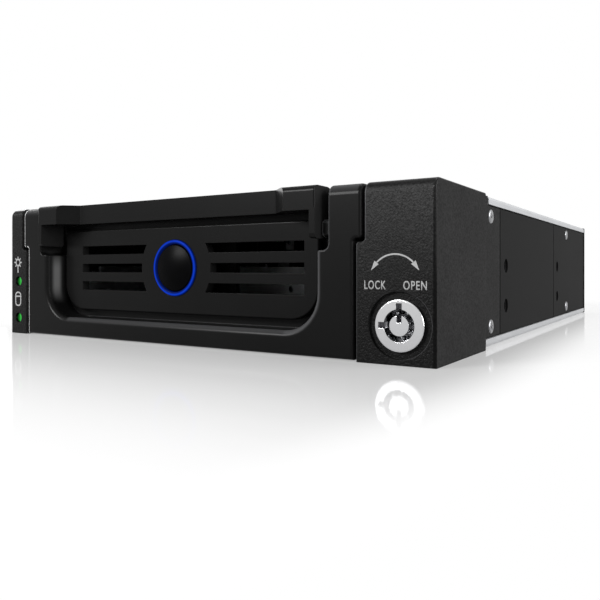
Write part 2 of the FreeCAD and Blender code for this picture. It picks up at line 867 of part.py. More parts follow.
def lock_clip():
    """Horseshoe clip pushed over the barrel's flats behind the bezel wall."""
    outer = lock_barrel_r + clip_rim
    inner = lock_barrel_r - flat_depth
    outline = [
        (lock_x - outer, lock_z - clip_leg, 0.5), (lock_x - inner, lock_z - clip_leg, 0.3),
        (lock_x - inner, lock_z + lock_barrel_r, 1.0), (lock_x + inner, lock_z + lock_barrel_r, 1.0),
        (lock_x + inner, lock_z - clip_leg, 0.3), (lock_x + outer, lock_z - clip_leg, 0.5),
        (lock_x + outer, lock_z + outer, 2.0), (lock_x - outer, lock_z + outer, 2.0),
    ]
    return along_y(outline, lock_wall_y, lock_wall_y + sheet)


def lock_core():
    plug = rod_y(lock_x, lock_z, lock_core_r, key_depth, cam_front)
    post_front = 0.1 - lock_proud
    post = rod_y(lock_x, lock_z, lock_post_r, post_front, post_front + lock_post_length)
    notch = block(lock_x - 0.6, lock_x + 0.6, -1, 3.0, lock_z + 0.7, lock_z + lock_core_r)
    tang = block(lock_x - tang_half_x, lock_x + tang_half_x, lock_back, cam_back,
                 lock_z - tang_half_z, lock_z + tang_half_z)
    drill = rod_y(lock_x, lock_z, small_screw_r + screw_gap, lock_back - 4, cam_back + 1)
    return plug.fuse([post, tang]).cut([notch, drill])


def lock_cam():
    """Flat cam with its tongue at nine o'clock, driven by the tang on the core."""
    hub = rod_y(lock_x, lock_z, cam_hub_r, cam_front, cam_back)
    tongue = along_y([(lock_x, lock_z - cam_half, 0), (lock_x, lock_z + cam_half, 0),
                      (lock_x - cam_reach, lock_z + cam_half, 1.2),
                      (lock_x - cam_reach, lock_z - cam_half, 1.2)], cam_front, cam_back)
    half_x = tang_half_x + screw_gap
    half_z = tang_half_z + screw_gap
    slot = block(lock_x - half_x, lock_x + half_x, cam_front - 1, cam_back + 1,
                 lock_z - half_z, lock_z + half_z)
    return hub.fuse(tongue).removeSplitter().cut(slot)


def cam_screw():
    seat = V(lock_x, cam_back, lock_z)
    return pan_screw(seat, V(0, -1, 0), 4.0, small_screw_r, cam_screw_head_r, small_head)


def key_switch():
    """Small switch behind the cam, seated against the outside of the tray's tunnel."""
    back = key_switch_front + switch_rise
    body = block(key_switch_x, key_switch_x + switch_depth, key_switch_front, back,
                 lock_z - switch_width / 2, lock_z + switch_width / 2)
    half = plunger_half + plunger_gap
    well = block(plunger_x - half, plunger_x + half, key_switch_front - 1,
                 key_switch_front + plunger_inside + plunger_gap, lock_z - half, lock_z + half)
    legs = []
    for i in (-1, 0, 1):
        z = lock_z + i * switch_width / 3
        legs.append(block(plunger_x - 0.6, plunger_x + 0.6, back - 0.5, back + switch_leg, z - 0.3, z + 0.3))
    return body.cut(well).fuse(legs)


def switch_plunger():
    """Plunger held back by the cam's tongue in the locked place; it comes forward when the cam turns up."""
    return block(plunger_x - plunger_half, plunger_x + plunger_half, plunger_tip,
                 key_switch_front + plunger_inside, lock_z - plunger_half, lock_z + plunger_half)


# ---- status lights ----
def light_heights():
    return [light_low_z + i * light_pitch for i in range(2)]


def status_light_pipes():
    pipes = []
    for z in light_heights():
        pipe = rod_y(light_x, z, light_r, light_sink, light_board_y - lamp_thick - light_gap)
        pipes.append(pipe.makeFillet(0.4, edges_where(pipe, at_y(light_sink))))
    return Part.makeCompound(pipes)


def light_board():
    left_in = tray_x - tunnel_half - wall
    board = block(wall - half_face, left_in, light_board_y, light_board_y + light_board_thick, wall,
                  light_low_z + light_pitch + light_board_margin)
    half = lamp_size / 2
    lamps = []
    for z in light_heights():
        lamps.append(block(light_x, light_x + lamp_size, light_board_y - lamp_thick, light_board_y,
                           z - half, z + half))
    return board.fuse(lamps)


# ---- tray ----
def tray_front():
    bottom = tray_lift
    outline = tee_outline(opening_upper - tray_gap, opening_lower - tray_gap, step_z + tray_gap / 2,
                          bottom, tray_top, 0)
    rounded = [(a, b, tray_edge if b == step_z + tray_gap / 2 else 0) for a, b, _ in outline]
    body = along_y(rounded, 0, tray_depth)
    body = body.common(along_x(front_profile(bottom, tray_top, tray_depth), -half_face, half_face))
    body = body.makeFillet(tray_edge, edges_where(body, at_y(0)))
    skirt = along_y(rectangle(tray_x - skirt_half, tray_x + skirt_half, tunnel_floor + skirt_gap,
                              tunnel_top - skirt_gap, 1.0), tray_depth - wall, tray_depth + skirt_length)
    body = body.fuse(skirt)
    bowl = along_y([
        (tray_x - bowl_half, bowl_bottom, bowl_corner), (tray_x + bowl_half, bowl_bottom, bowl_corner),
        (tray_x + bowl_half, pocket_floor + 2, 0), (tray_x - bowl_half, pocket_floor + 2, 0),
    ], -1, bowl_depth)
    pocket = along_y(rectangle(tray_x - pocket_half, tray_x + pocket_half, pocket_floor,
                               2 * cage_height, pocket_corner), -4, bowl_depth)
    body = body.cut(pocket).cut(bowl)
    rim = edges_where(body, lambda p: abs(p.y) < 1e-4 and abs(p.x - tray_x) < bowl_half + 0.01
                      and bowl_bottom - 0.01 < p.z < pocket_floor + 0.01)
    body = body.makeFillet(rim_radius, rim)
    pocket_rim = edges_where(body, lambda p: abs(p.y) < 1e-4 and p.z > pocket_floor - 0.01
                             and bowl_half < abs(p.x - tray_x) < pocket_half + 0.01)
    body = body.makeFillet(pocket_edge, pocket_rim)
    inside = bowl_depth + shell_wall
    hollow = block(tray_x - skirt_half + skirt_wall, tray_x + skirt_half - skirt_wall, inside,
                   tray_depth + skirt_length + 1, tunnel_floor + skirt_gap + skirt_wall,
                   tunnel_top - skirt_gap - skirt_wall)
    window = along_y(rectangle(tray_x - window_half, tray_x + window_half, panel_bottom + window_margin,
                               panel_top - window_margin, 2.0), bowl_depth - 1, inside + 1)
    shoulder = block(tray_x + pocket_half + shell_wall, tray_x + opening_upper - tray_gap - shell_wall,
                     front_wall, tray_depth + 1, step_z + 2 * shell_wall, tray_top - shell_wall)
    post = block(tray_x + bowl_half + shell_wall, tray_x + opening_lower - tray_gap - shell_wall,
                 front_wall, tray_depth - shell_wall, bottom + shell_wall, pocket_floor - shell_wall)
    body = body.cut([hollow, window] + both_sides(shoulder) + both_sides(post))
    boss = rod_x(pivot_y, pivot_z, boss_r, tray_x + handle_half + boss_gap, tray_x + pocket_half + 0.5)
    boss = boss.common(block(-half_face, half_face, 0.4, bowl_depth, pocket_floor, cage_height))
    lug = block(tray_x + pan_half, tray_x + skirt_half - skirt_wall / 2, inside + 1,
                tray_depth + skirt_length, lug_bottom, lug_bottom + lug_height)
    body = body.fuse(both_sides(boss) + both_sides(lug))
    holes = []
    pin_hole = rod_x(pivot_y, pivot_z, pin_r + pin_seat_gap, tray_x + handle_half,
                     tray_x + pocket_half + pin_reach)
    holes += both_sides(pin_hole)
    for z in tray_screw_heights():
        hole = rod_x(pan_start + tray_screw_inset, z, small_screw_r + screw_gap, tray_x + pan_half - 1,
                     tray_x + pan_half + tray_screw_length)
        holes += both_sides(hole)
    return body.cut(holes).removeSplitter()


def tray_screw_heights():
    return (tray_screw_low, tray_screw_low + tray_screw_pitch)


def tray_screws():
    screws = []
    for z in tray_screw_heights():
        seat = V(tray_x + pan_half - pan_sheet, pan_start + tray_screw_inset, z)
        screw = pan_screw(seat, V(1, 0, 0), tray_screw_length, small_screw_r, small_head_r, small_head)
        screws += both_sides(screw)
    return Part.makeCompound(screws)


def tray_pan():
    inner = pan_half - pan_sheet
    top = pan_bottom + pan_side_height
    outer_bend = pan_bend + pan_sheet
    outline = [
        (tray_x - pan_half, pan_bottom, outer_bend), (tray_x + pan_half, pan_bottom, outer_bend),
        (tray_x + pan_half, top, 0), (tray_x + inner, top, 0),
        (tray_x + inner, drive_bottom, pan_bend), (tray_x - inner, drive_bottom, pan_bend),
        (tray_x - inner, top, 0), (tray_x - pan_half, top, 0),
    ]
    pan = along_y(outline, pan_start, pan_end)
    left = tray_x - pan_half - 1
    right = tray_x + pan_half + 1
    under = pan_bottom - 1
    over = drive_bottom + 1
    cuts = [block(left, right, pan_start - 1, pan_floor_start, 0, pan_bottom + pan_notch_low)]
    cuts.append(block(left, right, pan_start - 1, pan_floor_start, top - pan_notch_high, top + 1))
    plug = receptacle_width / 2 + plug_margin
    cuts.append(block(tray_x + receptacle_x - plug, tray_x + receptacle_x + plug, pan_end - plug_notch,
                      pan_end + 1, under, over))
    length = vent_length / 2
    width = vent_width / 2
    first = drive_end - plug_notch - vent_rows * vent_row_pitch
    for column in (-1, 0, 1):
        for row in range(vent_rows):
            x = tray_x + column * vent_column_pitch
            y = first + row * vent_row_pitch
            cuts.append(along_z(rectangle(x - length, x + length, y - width, y + width, vent_corner),
                                under, over))
    for x, y in drive_hole_places():
        cuts.append(rod_z(x, y, drive_hole_r, under, over))
    for y in (drive_end - drive_side_inset, drive_end - drive_side_inset - drive_side_pitch):
        cuts.append(rod_x(y, drive_bottom + drive_side_z, drive_hole_r, left, right))
    for z in tray_screw_heights():
        cuts.append(rod_x(pan_start + tray_screw_inset, z, small_screw_r + screw_gap, left, right))
    return pan.cut(cuts)


def drive_hole_places():
    places = []
    for side in (-1, 1):
        for row in (0, 1):
            places.append((tray_x + side * drive_hole_x,
                           drive_end - drive_hole_inset - row * drive_hole_pitch))
    return places


def tray_runner():
    half = runner_height / 2
    ridge = ridge_height / 2
    outline = [
        (tray_x + pan_half, ridge_z - half, 0), (tray_x + runner_half, ridge_z - half, 0.4),
        (tray_x + runner_half, ridge_z - ridge, 0), (tray_x + ridge_half, ridge_z - ridge, 0.4),
        (tray_x + ridge_half, ridge_z + ridge, 0.4), (tray_x + runner_half, ridge_z + ridge, 0),
        (tray_x + runner_half, ridge_z + half, 0.4), (tray_x + pan_half, ridge_z + half, 0),
    ]
    tip = pan_end - 1
    runner = along_y(outline, drive_start, tip)
    wedge = along_z([(tray_x + runner_half, tip + 1, 0), (tray_x + ridge_half + 1, tip + 1, 0),
                     (tray_x + ridge_half + 1, tip - runner_tip, 0)],
                    ridge_z - half - 1, ridge_z + half + 1)
    return runner.cut(wedge)


def grille_panel():
    panel = along_y([
        (tray_x - panel_half, panel_bottom, panel_corner), (tray_x + panel_half, panel_bottom, panel_corner),
        (tray_x + panel_half, panel_top, 0), (tray_x - panel_half, panel_top, 0),
    ], panel_front, panel_back)
    edge = edges_where(panel, at_y(panel_front))
    panel = panel.makeFillet(panel_edge, edge)
    slots = []
    for i in (-1, 0, 1):
        z = button_z + i * slot_pitch
        slots.append(block(tray_x - slot_left, tray_x + slot_right, panel_front - 1, panel_back + 1,
                           z - slot_height / 2, z + slot_height / 2))
    keep = rod_y(tray_x, button_z, slot_clear_r, panel_front - 2, panel_back + 2)
    slots = [slot.cut(keep) for slot in slots]
    hole = rod_y(tray_x, button_z, ring_r + screw_gap, panel_front - 1, panel_back + 1)
    standoffs = []
    for x, z in standoff_places():
        post = rod_y(x, z, standoff_r, panel_back - 0.5, switch_board_y)
        standoffs.append(post)
    panel = panel.fuse(standoffs)
    drills = [rod_y(x, z, small_screw_r + screw_gap, panel_back + 1, switch_board_y + 1)
              for x, z in standoff_places()]
    return panel.cut(slots + [hole] + drills)


def standoff_places():
    places = []
    for side in (-1, 1):
        for z in (panel_bottom + standoff_inset, panel_top - standoff_inset):
            places.append((tray_x + side * standoff_x, z))
    return places


def light_ring():
    ring = rod_y(tray_x, button_z, ring_r, ring_front, switch_board_y)
    ring = ring.cut(rod_y(tray_x, button_z, ring_bore, ring_front - 1, switch_board_y + 1))
    return ring.makeFillet(0.35, edges_where(ring, at_y(ring_front)))


def power_button():
    radius = ring_bore - button_gap
    rise = button_dome
    sphere_r = (radius * radius + rise * rise) / (2 * rise)
    dome = Part.makeSphere(sphere_r, V(tray_x, button_front + sphere_r, button_z))
    body = rod_y(tray_x, button_z, radius, button_front, button_back).common(dome)
    stem_end = switch_front - button_travel - press_gap
    stem = rod_y(tray_x, button_z, button_stem_r, button_back - 0.5, stem_end)
    return body.fuse(stem)


def tact_switch():
    half = switch_body / 2
    front = switch_board_y - switch_base
    base = block(tray_x - half, tray_x + half, front, switch_board_y, button_z - half, button_z + half)
    return base.fuse(rod_y(tray_x, button_z, switch_tip_r, switch_front, front + switch_tip))


def switch_board():
    half_x = standoff_x + standoff_inset
    board = along_y(rectangle(tray_x - half_x, tray_x + half_x, panel_bottom + 1.0, panel_top - 1.0, 1.0),
                    switch_board_y, switch_board_y + board_thick)
    holes = [rod_y(x, z, small_screw_r + 0.1, switch_board_y - 1, switch_board_y + board_thick + 1)
             for x, z in standoff_places()]
    return board.cut(holes)


def switch_board_screws():
    screws = []
    for x, z in standoff_places():
        seat = V(x, switch_board_y + board_thick, z)
        screws.append(pan_screw(seat, V(0, -1, 0), board_screw_length, small_screw_r, small_head_r,
                                small_head))
    return Part.makeCompound(screws)


def button_spring():
    """Compression spring between the button's back and the switch board."""
    start = button_back + spring_wire / 2
    length = switch_board_y - button_back - spring_wire
    helix = Part.makeHelix(length / spring_turns, length, spring_r)
    section = Part.Wire(Part.makeCircle(spring_wire / 2, V(spring_r, 0, 0), V(0, 1, 0)))
    coil = Part.Wire(helix.Edges).makePipeShell([section], True, True)
    coil.rotate(V(0, 0, 0), V(1, 0, 0), -90)
    coil.translate(V(tray_x, start, button_z))
    return coil


# ---- handle ----
def handle():
    top = tray_top
    inner = handle_half - handle_block
    plan = [
        (tray_x - handle_half, handle_front, face_edge), (tray_x - inner, handle_front, face_edge),
        (tray_x - inner + handle_slant, bar_front, 0.6), (tray_x + inner - handle_slant, bar_front, 0.6),
        (tray_x + inner, handle_front, face_edge), (tray_x + handle_half, handle_front, face_edge),
        (tray_x + handle_half, handle_back, 0), (tray_x - handle_half, handle_back, 0),
    ]
    bar = along_z(plan, handle_bottom, top)
    profile = along_x([
        (handle_front, handle_bottom, 0), (handle_back, handle_bottom, 1.0),
        (handle_back, top, 3.0), (handle_front, top, 1.4),
    ], tray_x - handle_half, tray_x + handle_half)
    bar = bar.common(profile)
    arm = along_x([
        (handle_front, arm_bottom, arm_toe), (arm_back, arm_bottom, arm_heel),
        (arm_back, handle_bottom + 0.5, 0), (handle_front, handle_bottom + 0.5, 0),
    ], tray_x + handle_half - arm_width, tray_x + handle_half)
    body = bar.fuse(both_sides(arm)).removeSplitter()
    bore = rod_x(pivot_y, pivot_z, pin_r + pin_run_gap, tray_x + handle_half - arm_width + pin_cover,
                 tray_x + handle_half + 1)
    return body.cut(both_sides(bore))


def hinge_pins():
    pin = rod_x(pivot_y, pivot_z, pin_r, tray_x + handle_half - arm_width + pin_cover + pin_run_gap,
                tray_x + pocket_half + pin_reach - 0.2)
    return Part.makeCompound(both_sides(pin))


def main():
    os.makedirs("parts", exist_ok=True)
    left_plate, right_plate = side_plates()
    cover = bottom_cover()
    holes = [flat_screw_hole(x, y) for x, y in rail_screw_places()]
    runner = tray_runner()
    save("front_housing", front_housing())
    save("left_side_plate", left_plate)
    save("right_side_plate", right_plate)
    save("rear_housing", rear_housing())
    save("bottom_cover", cover.cut(holes))
    save("top_cover", mirror_z(cover, mid_z).cut(block(-half_face, half_face, 0, top_cover_start, 0,
                                                       cage_height + 1)))
    save("left_guide_rail", guide_rail(-1))
    save("right_guide_rail", guide_rail(1))
    save("rail_screws", Part.makeCompound([flat_screw(x, y) for x, y in rail_screw_places()]))
    save("side_screws", side_screws())
    save("backplane_board", backplane_board())
    save("drive_receptacle", drive_receptacle())
    save("power_socket", power_socket())
    save("data_socket", data_socket())
    save("fan_frame", fan_frame())
    save("fan_rotor", fan_rotor())
    save("fan_screws", fan_screws())
    save("lock_body", lock_body())
    save("lock_clip", lock_clip())
    save("lock_core", lock_core())
    save("lock_cam", lock_cam())
    save("cam_screw", cam_screw())
    save("key_switch", key_switch())
    save("switch_plunger", switch_plunger())
    save("status_light_pipes", status_light_pipes())
    save("light_board", light_board())
    save("tray_front", tray_front())
    save("grille_panel", grille_panel())
    save("light_ring", light_ring())
    save("power_button", power_button())
    save("button_spring", button_spring())
    save("tact_switch", tact_switch())
    save("switch_board", switch_board())
    save("switch_board_screws", switch_board_screws())
    save("tray_pan", tray_pan())
    save("left_runner", mirror_x(runner, tray_x))
    save("right_runner", runner)
    save("tray_screws", tray_screws())
    save("handle", handle())
    save("hinge_pins", hinge_pins())


main()
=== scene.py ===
import bpy
import math
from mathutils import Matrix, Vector


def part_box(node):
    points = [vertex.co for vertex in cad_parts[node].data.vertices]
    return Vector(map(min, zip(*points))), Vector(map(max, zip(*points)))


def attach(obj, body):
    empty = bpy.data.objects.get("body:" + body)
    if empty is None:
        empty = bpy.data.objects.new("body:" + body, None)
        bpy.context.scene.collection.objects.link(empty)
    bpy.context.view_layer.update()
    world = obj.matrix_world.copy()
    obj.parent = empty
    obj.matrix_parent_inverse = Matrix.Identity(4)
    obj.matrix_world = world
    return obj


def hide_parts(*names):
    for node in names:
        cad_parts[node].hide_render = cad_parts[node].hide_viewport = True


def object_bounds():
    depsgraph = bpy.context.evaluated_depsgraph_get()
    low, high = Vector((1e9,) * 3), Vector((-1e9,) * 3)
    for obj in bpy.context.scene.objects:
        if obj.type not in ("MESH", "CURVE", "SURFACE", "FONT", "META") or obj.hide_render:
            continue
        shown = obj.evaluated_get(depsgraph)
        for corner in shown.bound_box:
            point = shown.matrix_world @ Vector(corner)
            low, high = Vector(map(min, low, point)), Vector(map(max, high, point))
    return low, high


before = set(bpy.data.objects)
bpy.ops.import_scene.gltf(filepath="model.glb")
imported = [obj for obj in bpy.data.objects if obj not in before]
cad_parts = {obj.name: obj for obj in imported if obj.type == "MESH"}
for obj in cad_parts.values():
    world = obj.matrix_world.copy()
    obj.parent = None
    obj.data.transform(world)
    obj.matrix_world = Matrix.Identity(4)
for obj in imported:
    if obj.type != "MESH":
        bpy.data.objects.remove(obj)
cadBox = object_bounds()
mm = 0.001
print("frame loaded:", len(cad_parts), "nodes")


noiseLow, noiseHigh = 0.3, 0.7  # nearly all of a noise texture's values lie between these


def toLinear(colour):
    # sRGB hex to the linear values that sockets take
    channels = [int(colour[i:i + 2], 16) / 255 for i in (1, 3, 5)]
    return (*(c / 12.92 if c <= 0.04045 else ((c + 0.055) / 1.055) ** 2.4 for c in channels), 1.0)


def addNode(tree, kind, settings=None, links=None):
    # a setting is a socket's value where the node has such a socket, and the node's own option otherwise
    node = tree.nodes.new(kind)
    for name, value in (settings or {}).items():
        if isinstance(name, int) or name in node.inputs:
            node.inputs[name].default_value = value
        else:
            setattr(node, name, value)
    for name, socket in (links or {}).items():
        tree.links.new(socket, node.inputs[name])
    return node


def startMaterial(name, settings):
    material = bpy.data.materials.new(name)
    material.use_nodes = True
    tree = material.node_tree
    tree.nodes.clear()
    shader = addNode(tree, "ShaderNodeBsdfPrincipled", settings)
    addNode(tree, "ShaderNodeOutputMaterial", links={"Surface": shader.outputs["BSDF"]})
    return material, tree, shader


def seenByCamera(tree):
    # 1 for what the camera sees straight, by a reflection or through glass, 0 for light that bounces about
    path = addNode(tree, "ShaderNodeLightPath")
    cameraOrGlossy = addNode(tree, "ShaderNodeMath", {"operation": "ADD", "use_clamp": True},
                             {0: path.outputs["Is Camera Ray"], 1: path.outputs["Is Glossy Ray"]})
    seen = addNode(tree, "ShaderNodeMath", {"operation": "ADD", "use_clamp": True},
                   {0: cameraOrGlossy.outputs[0], 1: path.outputs["Is Transmission Ray"]})
    return seen.outputs[0]


cameraLook = {
    "place": (0.12266, -0.23641, 0.02134),
    "turn": 32.13,  # degrees left of straight in
    "lens": 38.53,
    "shift": -0.0517,
    "clipStart": 0.01,
}
bpy.ops.object.camera_add(location=cameraLook["place"],
                          rotation=(math.radians(90), 0, math.radians(cameraLook["turn"])))
camera = bpy.context.object
camera.data.lens = cameraLook["lens"]
camera.data.shift_y = cameraLook["shift"]
camera.data.clip_start = cameraLook["clipStart"]
bpy.context.scene.camera = camera

floorLook = {
    "size": 8.0,
    "drop": 0.05,  # keeps the floor clear of the cage's underside
    "colour": "#c4c4c4",
    "ownLight": 0.55,  # share of plain white that keeps the floor pale close to the cage
    "paleFrom": 13.5,  # it grows from this far out
    "paleTo": 135,  # and here the floor has become plain white
    "gloss": 0.4,
    "blur": 0.06,
    "glossFrom": 10,  # the polish shows the cage's foot and dies away from it
    "glossTo": 90,
    "sideFade": 4.0,  # both fade this many times sooner beside the cage than in front of it
}
bpy.ops.mesh.primitive_plane_add(size=floorLook["size"])
floor = bpy.context.object
floor.name = "studioFloor"
floor.location.z = -floorLook["drop"] * mm
# cast acrylic sheet is smooth, so the cage's foot shows in it faintly
floorPaint = bpy.data.materials.new("white acrylic sheet")
floorPaint.use_nodes = True
tree = floorPaint.node_tree
tree.nodes.clear()
place = addNode(tree, "ShaderNodeTexCoord")
middle, half = (cadBox[0] + cadBox[1]) / 2, (cadBox[1] - cadBox[0]) / 2
# distance outside the cage's footprint
fromMiddle = addNode(tree, "ShaderNodeVectorMath", {"operation": "SUBTRACT", 1: (middle.x, middle.y, 0)},
                     {0: place.outputs["Object"]})
folded = addNode(tree, "ShaderNodeVectorMath", {"operation": "ABSOLUTE"}, {0: fromMiddle.outputs[0]})
beyond = addNode(tree, "ShaderNodeVectorMath", {"operation": "SUBTRACT", 1: (half.x, half.y, 0)},
                 {0: folded.outputs[0]})
outside = addNode(tree, "ShaderNodeVectorMath", {"operation": "MAXIMUM", 1: (0, 0, 0)},
                  {0: beyond.outputs[0]})
stretched = addNode(tree, "ShaderNodeVectorMath",
                    {"operation": "MULTIPLY", 1: (floorLook["sideFade"], 1, 1)}, {0: outside.outputs[0]})
away = addNode(tree, "ShaderNodeVectorMath", {"operation": "LENGTH"}, {0: stretched.outputs[0]})
glossFade = addNode(tree, "ShaderNodeMapRange", {
    "interpolation_type": "SMOOTHSTEP", "From Min": floorLook["glossFrom"] * mm,
    "From Max": floorLook["glossTo"] * mm, "To Min": floorLook["gloss"], "To Max": 0.0},
    {"Value": away.outputs["Value"]})
paleness = addNode(tree, "ShaderNodeMapRange", {
    "From Min": floorLook["paleFrom"] * mm, "From Max": floorLook["paleTo"] * mm,
    "To Min": floorLook["ownLight"]}, {"Value": away.outputs["Value"]})
own = addNode(tree, "ShaderNodeMath", {"operation": "MULTIPLY"},
              {0: seenByCamera(tree), 1: paleness.outputs[0]})
matt = addNode(tree, "ShaderNodeBsdfDiffuse", {"Color": toLinear(floorLook["colour"])})
glow = addNode(tree, "ShaderNodeEmission", {"Color": (1, 1, 1, 1), "Strength": 1.0})
sheet = addNode(tree, "ShaderNodeMixShader",
                links={0: own.outputs[0], 1: matt.outputs[0], 2: glow.outputs[0]})
shine = addNode(tree, "ShaderNodeBsdfGlossy", {"Color": (1, 1, 1, 1), "Roughness": floorLook["blur"]})
path = addNode(tree, "ShaderNodeLightPath")
gloss = addNode(tree, "ShaderNodeMath", {"operation": "MULTIPLY"},
                {0: path.outputs["Is Camera Ray"], 1: glossFade.outputs[0]})
both = addNode(tree, "ShaderNodeMixShader",
               links={0: gloss.outputs[0], 1: sheet.outputs[0], 2: shine.outputs[0]})
addNode(tree, "ShaderNodeOutputMaterial", links={"Surface": both.outputs[0]})
floor.data.materials.append(floorPaint)

roomLook = {"ambient": 0.55}
world = bpy.data.worlds.new("studio")
bpy.context.scene.world = world
world.use_nodes = True
tree = world.node_tree
tree.nodes.clear()
soft = addNode(tree, "ShaderNodeBackground", {"Color": (1, 1, 1, 1), "Strength": roomLook["ambient"]})
white = addNode(tree, "ShaderNodeBackground", {"Color": (1, 1, 1, 1), "Strength": 1.0})
room = addNode(tree, "ShaderNodeMixShader",
               links={0: seenByCamera(tree), 1: soft.outputs[0], 2: white.outputs[0]})
addNode(tree, "ShaderNodeOutputWorld", links={"Surface": room.outputs[0]})

# soft boxes: name, degrees right of the front, degrees up, width and height in metres, watts
boxDistance = 0.9  # metres from the cage
softBoxes = [
    ("frontLeftBox", -26, 23, 0.34, 0.2, 9.2),
    ("leftBox", -100, 16, 0.5, 0.5, 3.0),
    ("fillBox", 70, 14, 0.4, 0.4, 5.0),
    ("rightBox", 100, 24, 0.5, 0.5, 7.0),
    ("overheadBox", 175, 80, 0.4, 0.4, 2.2),
]
for name, around, up, width, height, watts in softBoxes:
    around, up = math.radians(around), math.radians(up)
    outward = Vector((math.sin(around) * math.cos(up), -math.cos(around) * math.cos(up), math.sin(up)))
    away = outward * boxDistance
    bpy.ops.object.light_add(type="AREA", location=away)
    lamp = bpy.context.object
    lamp.name = name
    lamp.data.shape = "RECTANGLE"
    lamp.data.size, lamp.data.size_y = width, height
    lamp.data.energy = watts
    lamp.rotation_euler = away.to_track_quat("Z", "Y").to_euler()
bpy.context.scene.view_settings.view_transform = "Standard"
print("stage ready")


def dullSidesPaintedPaler(tree, look, normal, spot, colour):
    # walls that face sideways slide along the mould and come out duller, and so does the top; their colour is
    # also painted paler, as painted light
    high = addNode(tree, "ShaderNodeMapRange", {
        "From Min": look["dullTop"] * mm, "From Max": (look["dullTop"] + 1) * mm}, {"Value": spot["Z"]})
    upper = addNode(tree, "ShaderNodeMath", {"operation": "MULTIPLY"}, {0: normal["Z"], 1: high.outputs[0]})
    across = addNode(tree, "ShaderNodeMath", {"operation": "ABSOLUTE"}, {0: normal["X"]})
    sideways = addNode(tree, "ShaderNodeMath", {"operation": "MAXIMUM"},
                       {0: across.outputs[0], 1: upper.outputs[0]})
    roughness = addNode(tree, "ShaderNodeMapRange", {
        "From Min": look["sideFrom"], "From Max": look["sideTo"], "To Min": look["roughness"],
        "To Max": look["sideRoughness"]}, {"Value": sideways.outputs[0]})
    tone = addNode(tree, "ShaderNodeMapRange", {
        "From Min": look["sideFrom"], "From Max": look["sideTo"], "To Min": 1.0,
        "To Max": look["sidePaintedLight"]}, {"Value": sideways.outputs[0]})
    paintedPalerSides = addNode(tree, "ShaderNodeVectorMath", {"operation": "SCALE"},
                     {0: colour, "Scale": tone.outputs[0]})
    return paintedPalerSides.outputs[0], roughness.outputs[0]


def paintEdgeHighlights(tree, look, spot, colour):
    # painted highlight: front edges that face up or to the left are painted paler, as if they caught the
    # light
    border = addNode(tree, "ShaderNodeBevel", {"samples": 8, "Radius": look["highlightWidth"] * mm})
    lean = addNode(tree, "ShaderNodeSeparateXYZ", links={"Vector": border.outputs[0]})
    ahead = addNode(tree, "ShaderNodeMath", {"operation": "MULTIPLY", 1: -1.0}, {0: lean.outputs["Y"]})
    flatness = addNode(tree, "ShaderNodeMath", {"operation": "POWER", 1: 2.0}, {0: ahead.outputs[0]})
    leaning = addNode(tree, "ShaderNodeMath", {"operation": "SUBTRACT", 0: 1.0}, {1: flatness.outputs[0]})
    edgeOnly = addNode(tree, "ShaderNodeMath", {"operation": "MULTIPLY", "use_clamp": True},
                       {0: leaning.outputs[0], 1: ahead.outputs[0]})
    edge = addNode(tree, "ShaderNodeMapRange", {"From Max": look["highlightFull"]},
                   {"Value": edgeOnly.outputs[0]})
    upward = addNode(tree, "ShaderNodeMath", {"operation": "MULTIPLY", 1: look["highlightUp"]},
                     {0: lean.outputs["Z"]})
    leftward = addNode(tree, "ShaderNodeMath", {"operation": "MULTIPLY", 1: -look["highlightLeft"]},
                       {0: lean.outputs["X"]})
    highlightSide = addNode(tree, "ShaderNodeMath", {"operation": "ADD", "use_clamp": True},
                       {0: upward.outputs[0], 1: leftward.outputs[0]})
    amount = addNode(tree, "ShaderNodeMath", {"operation": "MULTIPLY", "use_clamp": True},
                     {0: edge.outputs[0], 1: highlightSide.outputs[0]})
    paintedHighlight = addNode(tree, "ShaderNodeMix", {"data_type": "RGBA", 7: toLinear(look["paintedGleam"])},
                   {0: amount.outputs[0], 6: colour})
    if "paintedLine" not in look:
        return paintedHighlight.outputs[2]
    # painted highlight: a fine light line is painted along the outer left edge
    outer = addNode(tree, "ShaderNodeMapRange", {
        "From Min": (look["paintedLineAt"] - look["paintedLineBlend"]) * mm,
        "From Max": (look["paintedLineAt"] + look["paintedLineBlend"]) * mm,
        "To Min": 1.0, "To Max": 0.0}, {"Value": spot["X"]})
    turned = addNode(tree, "ShaderNodeMath", {"operation": "MULTIPLY", "use_clamp": True},
                     {0: leftward.outputs[0], 1: outer.outputs[0]})
    paintedLineAmount = addNode(tree, "ShaderNodeMath", {"operation": "MULTIPLY", "use_clamp": True},
                      {0: turned.outputs[0], 1: amount.outputs[0]})
    withPaintedLine = addNode(tree, "ShaderNodeMix", {"data_type": "RGBA", 7: toLinear(look["paintedLine"])},
                   {0: paintedLineAmount.outputs[0], 6: paintedHighlight.outputs[2]})
    return withPaintedLine.outputs[2]


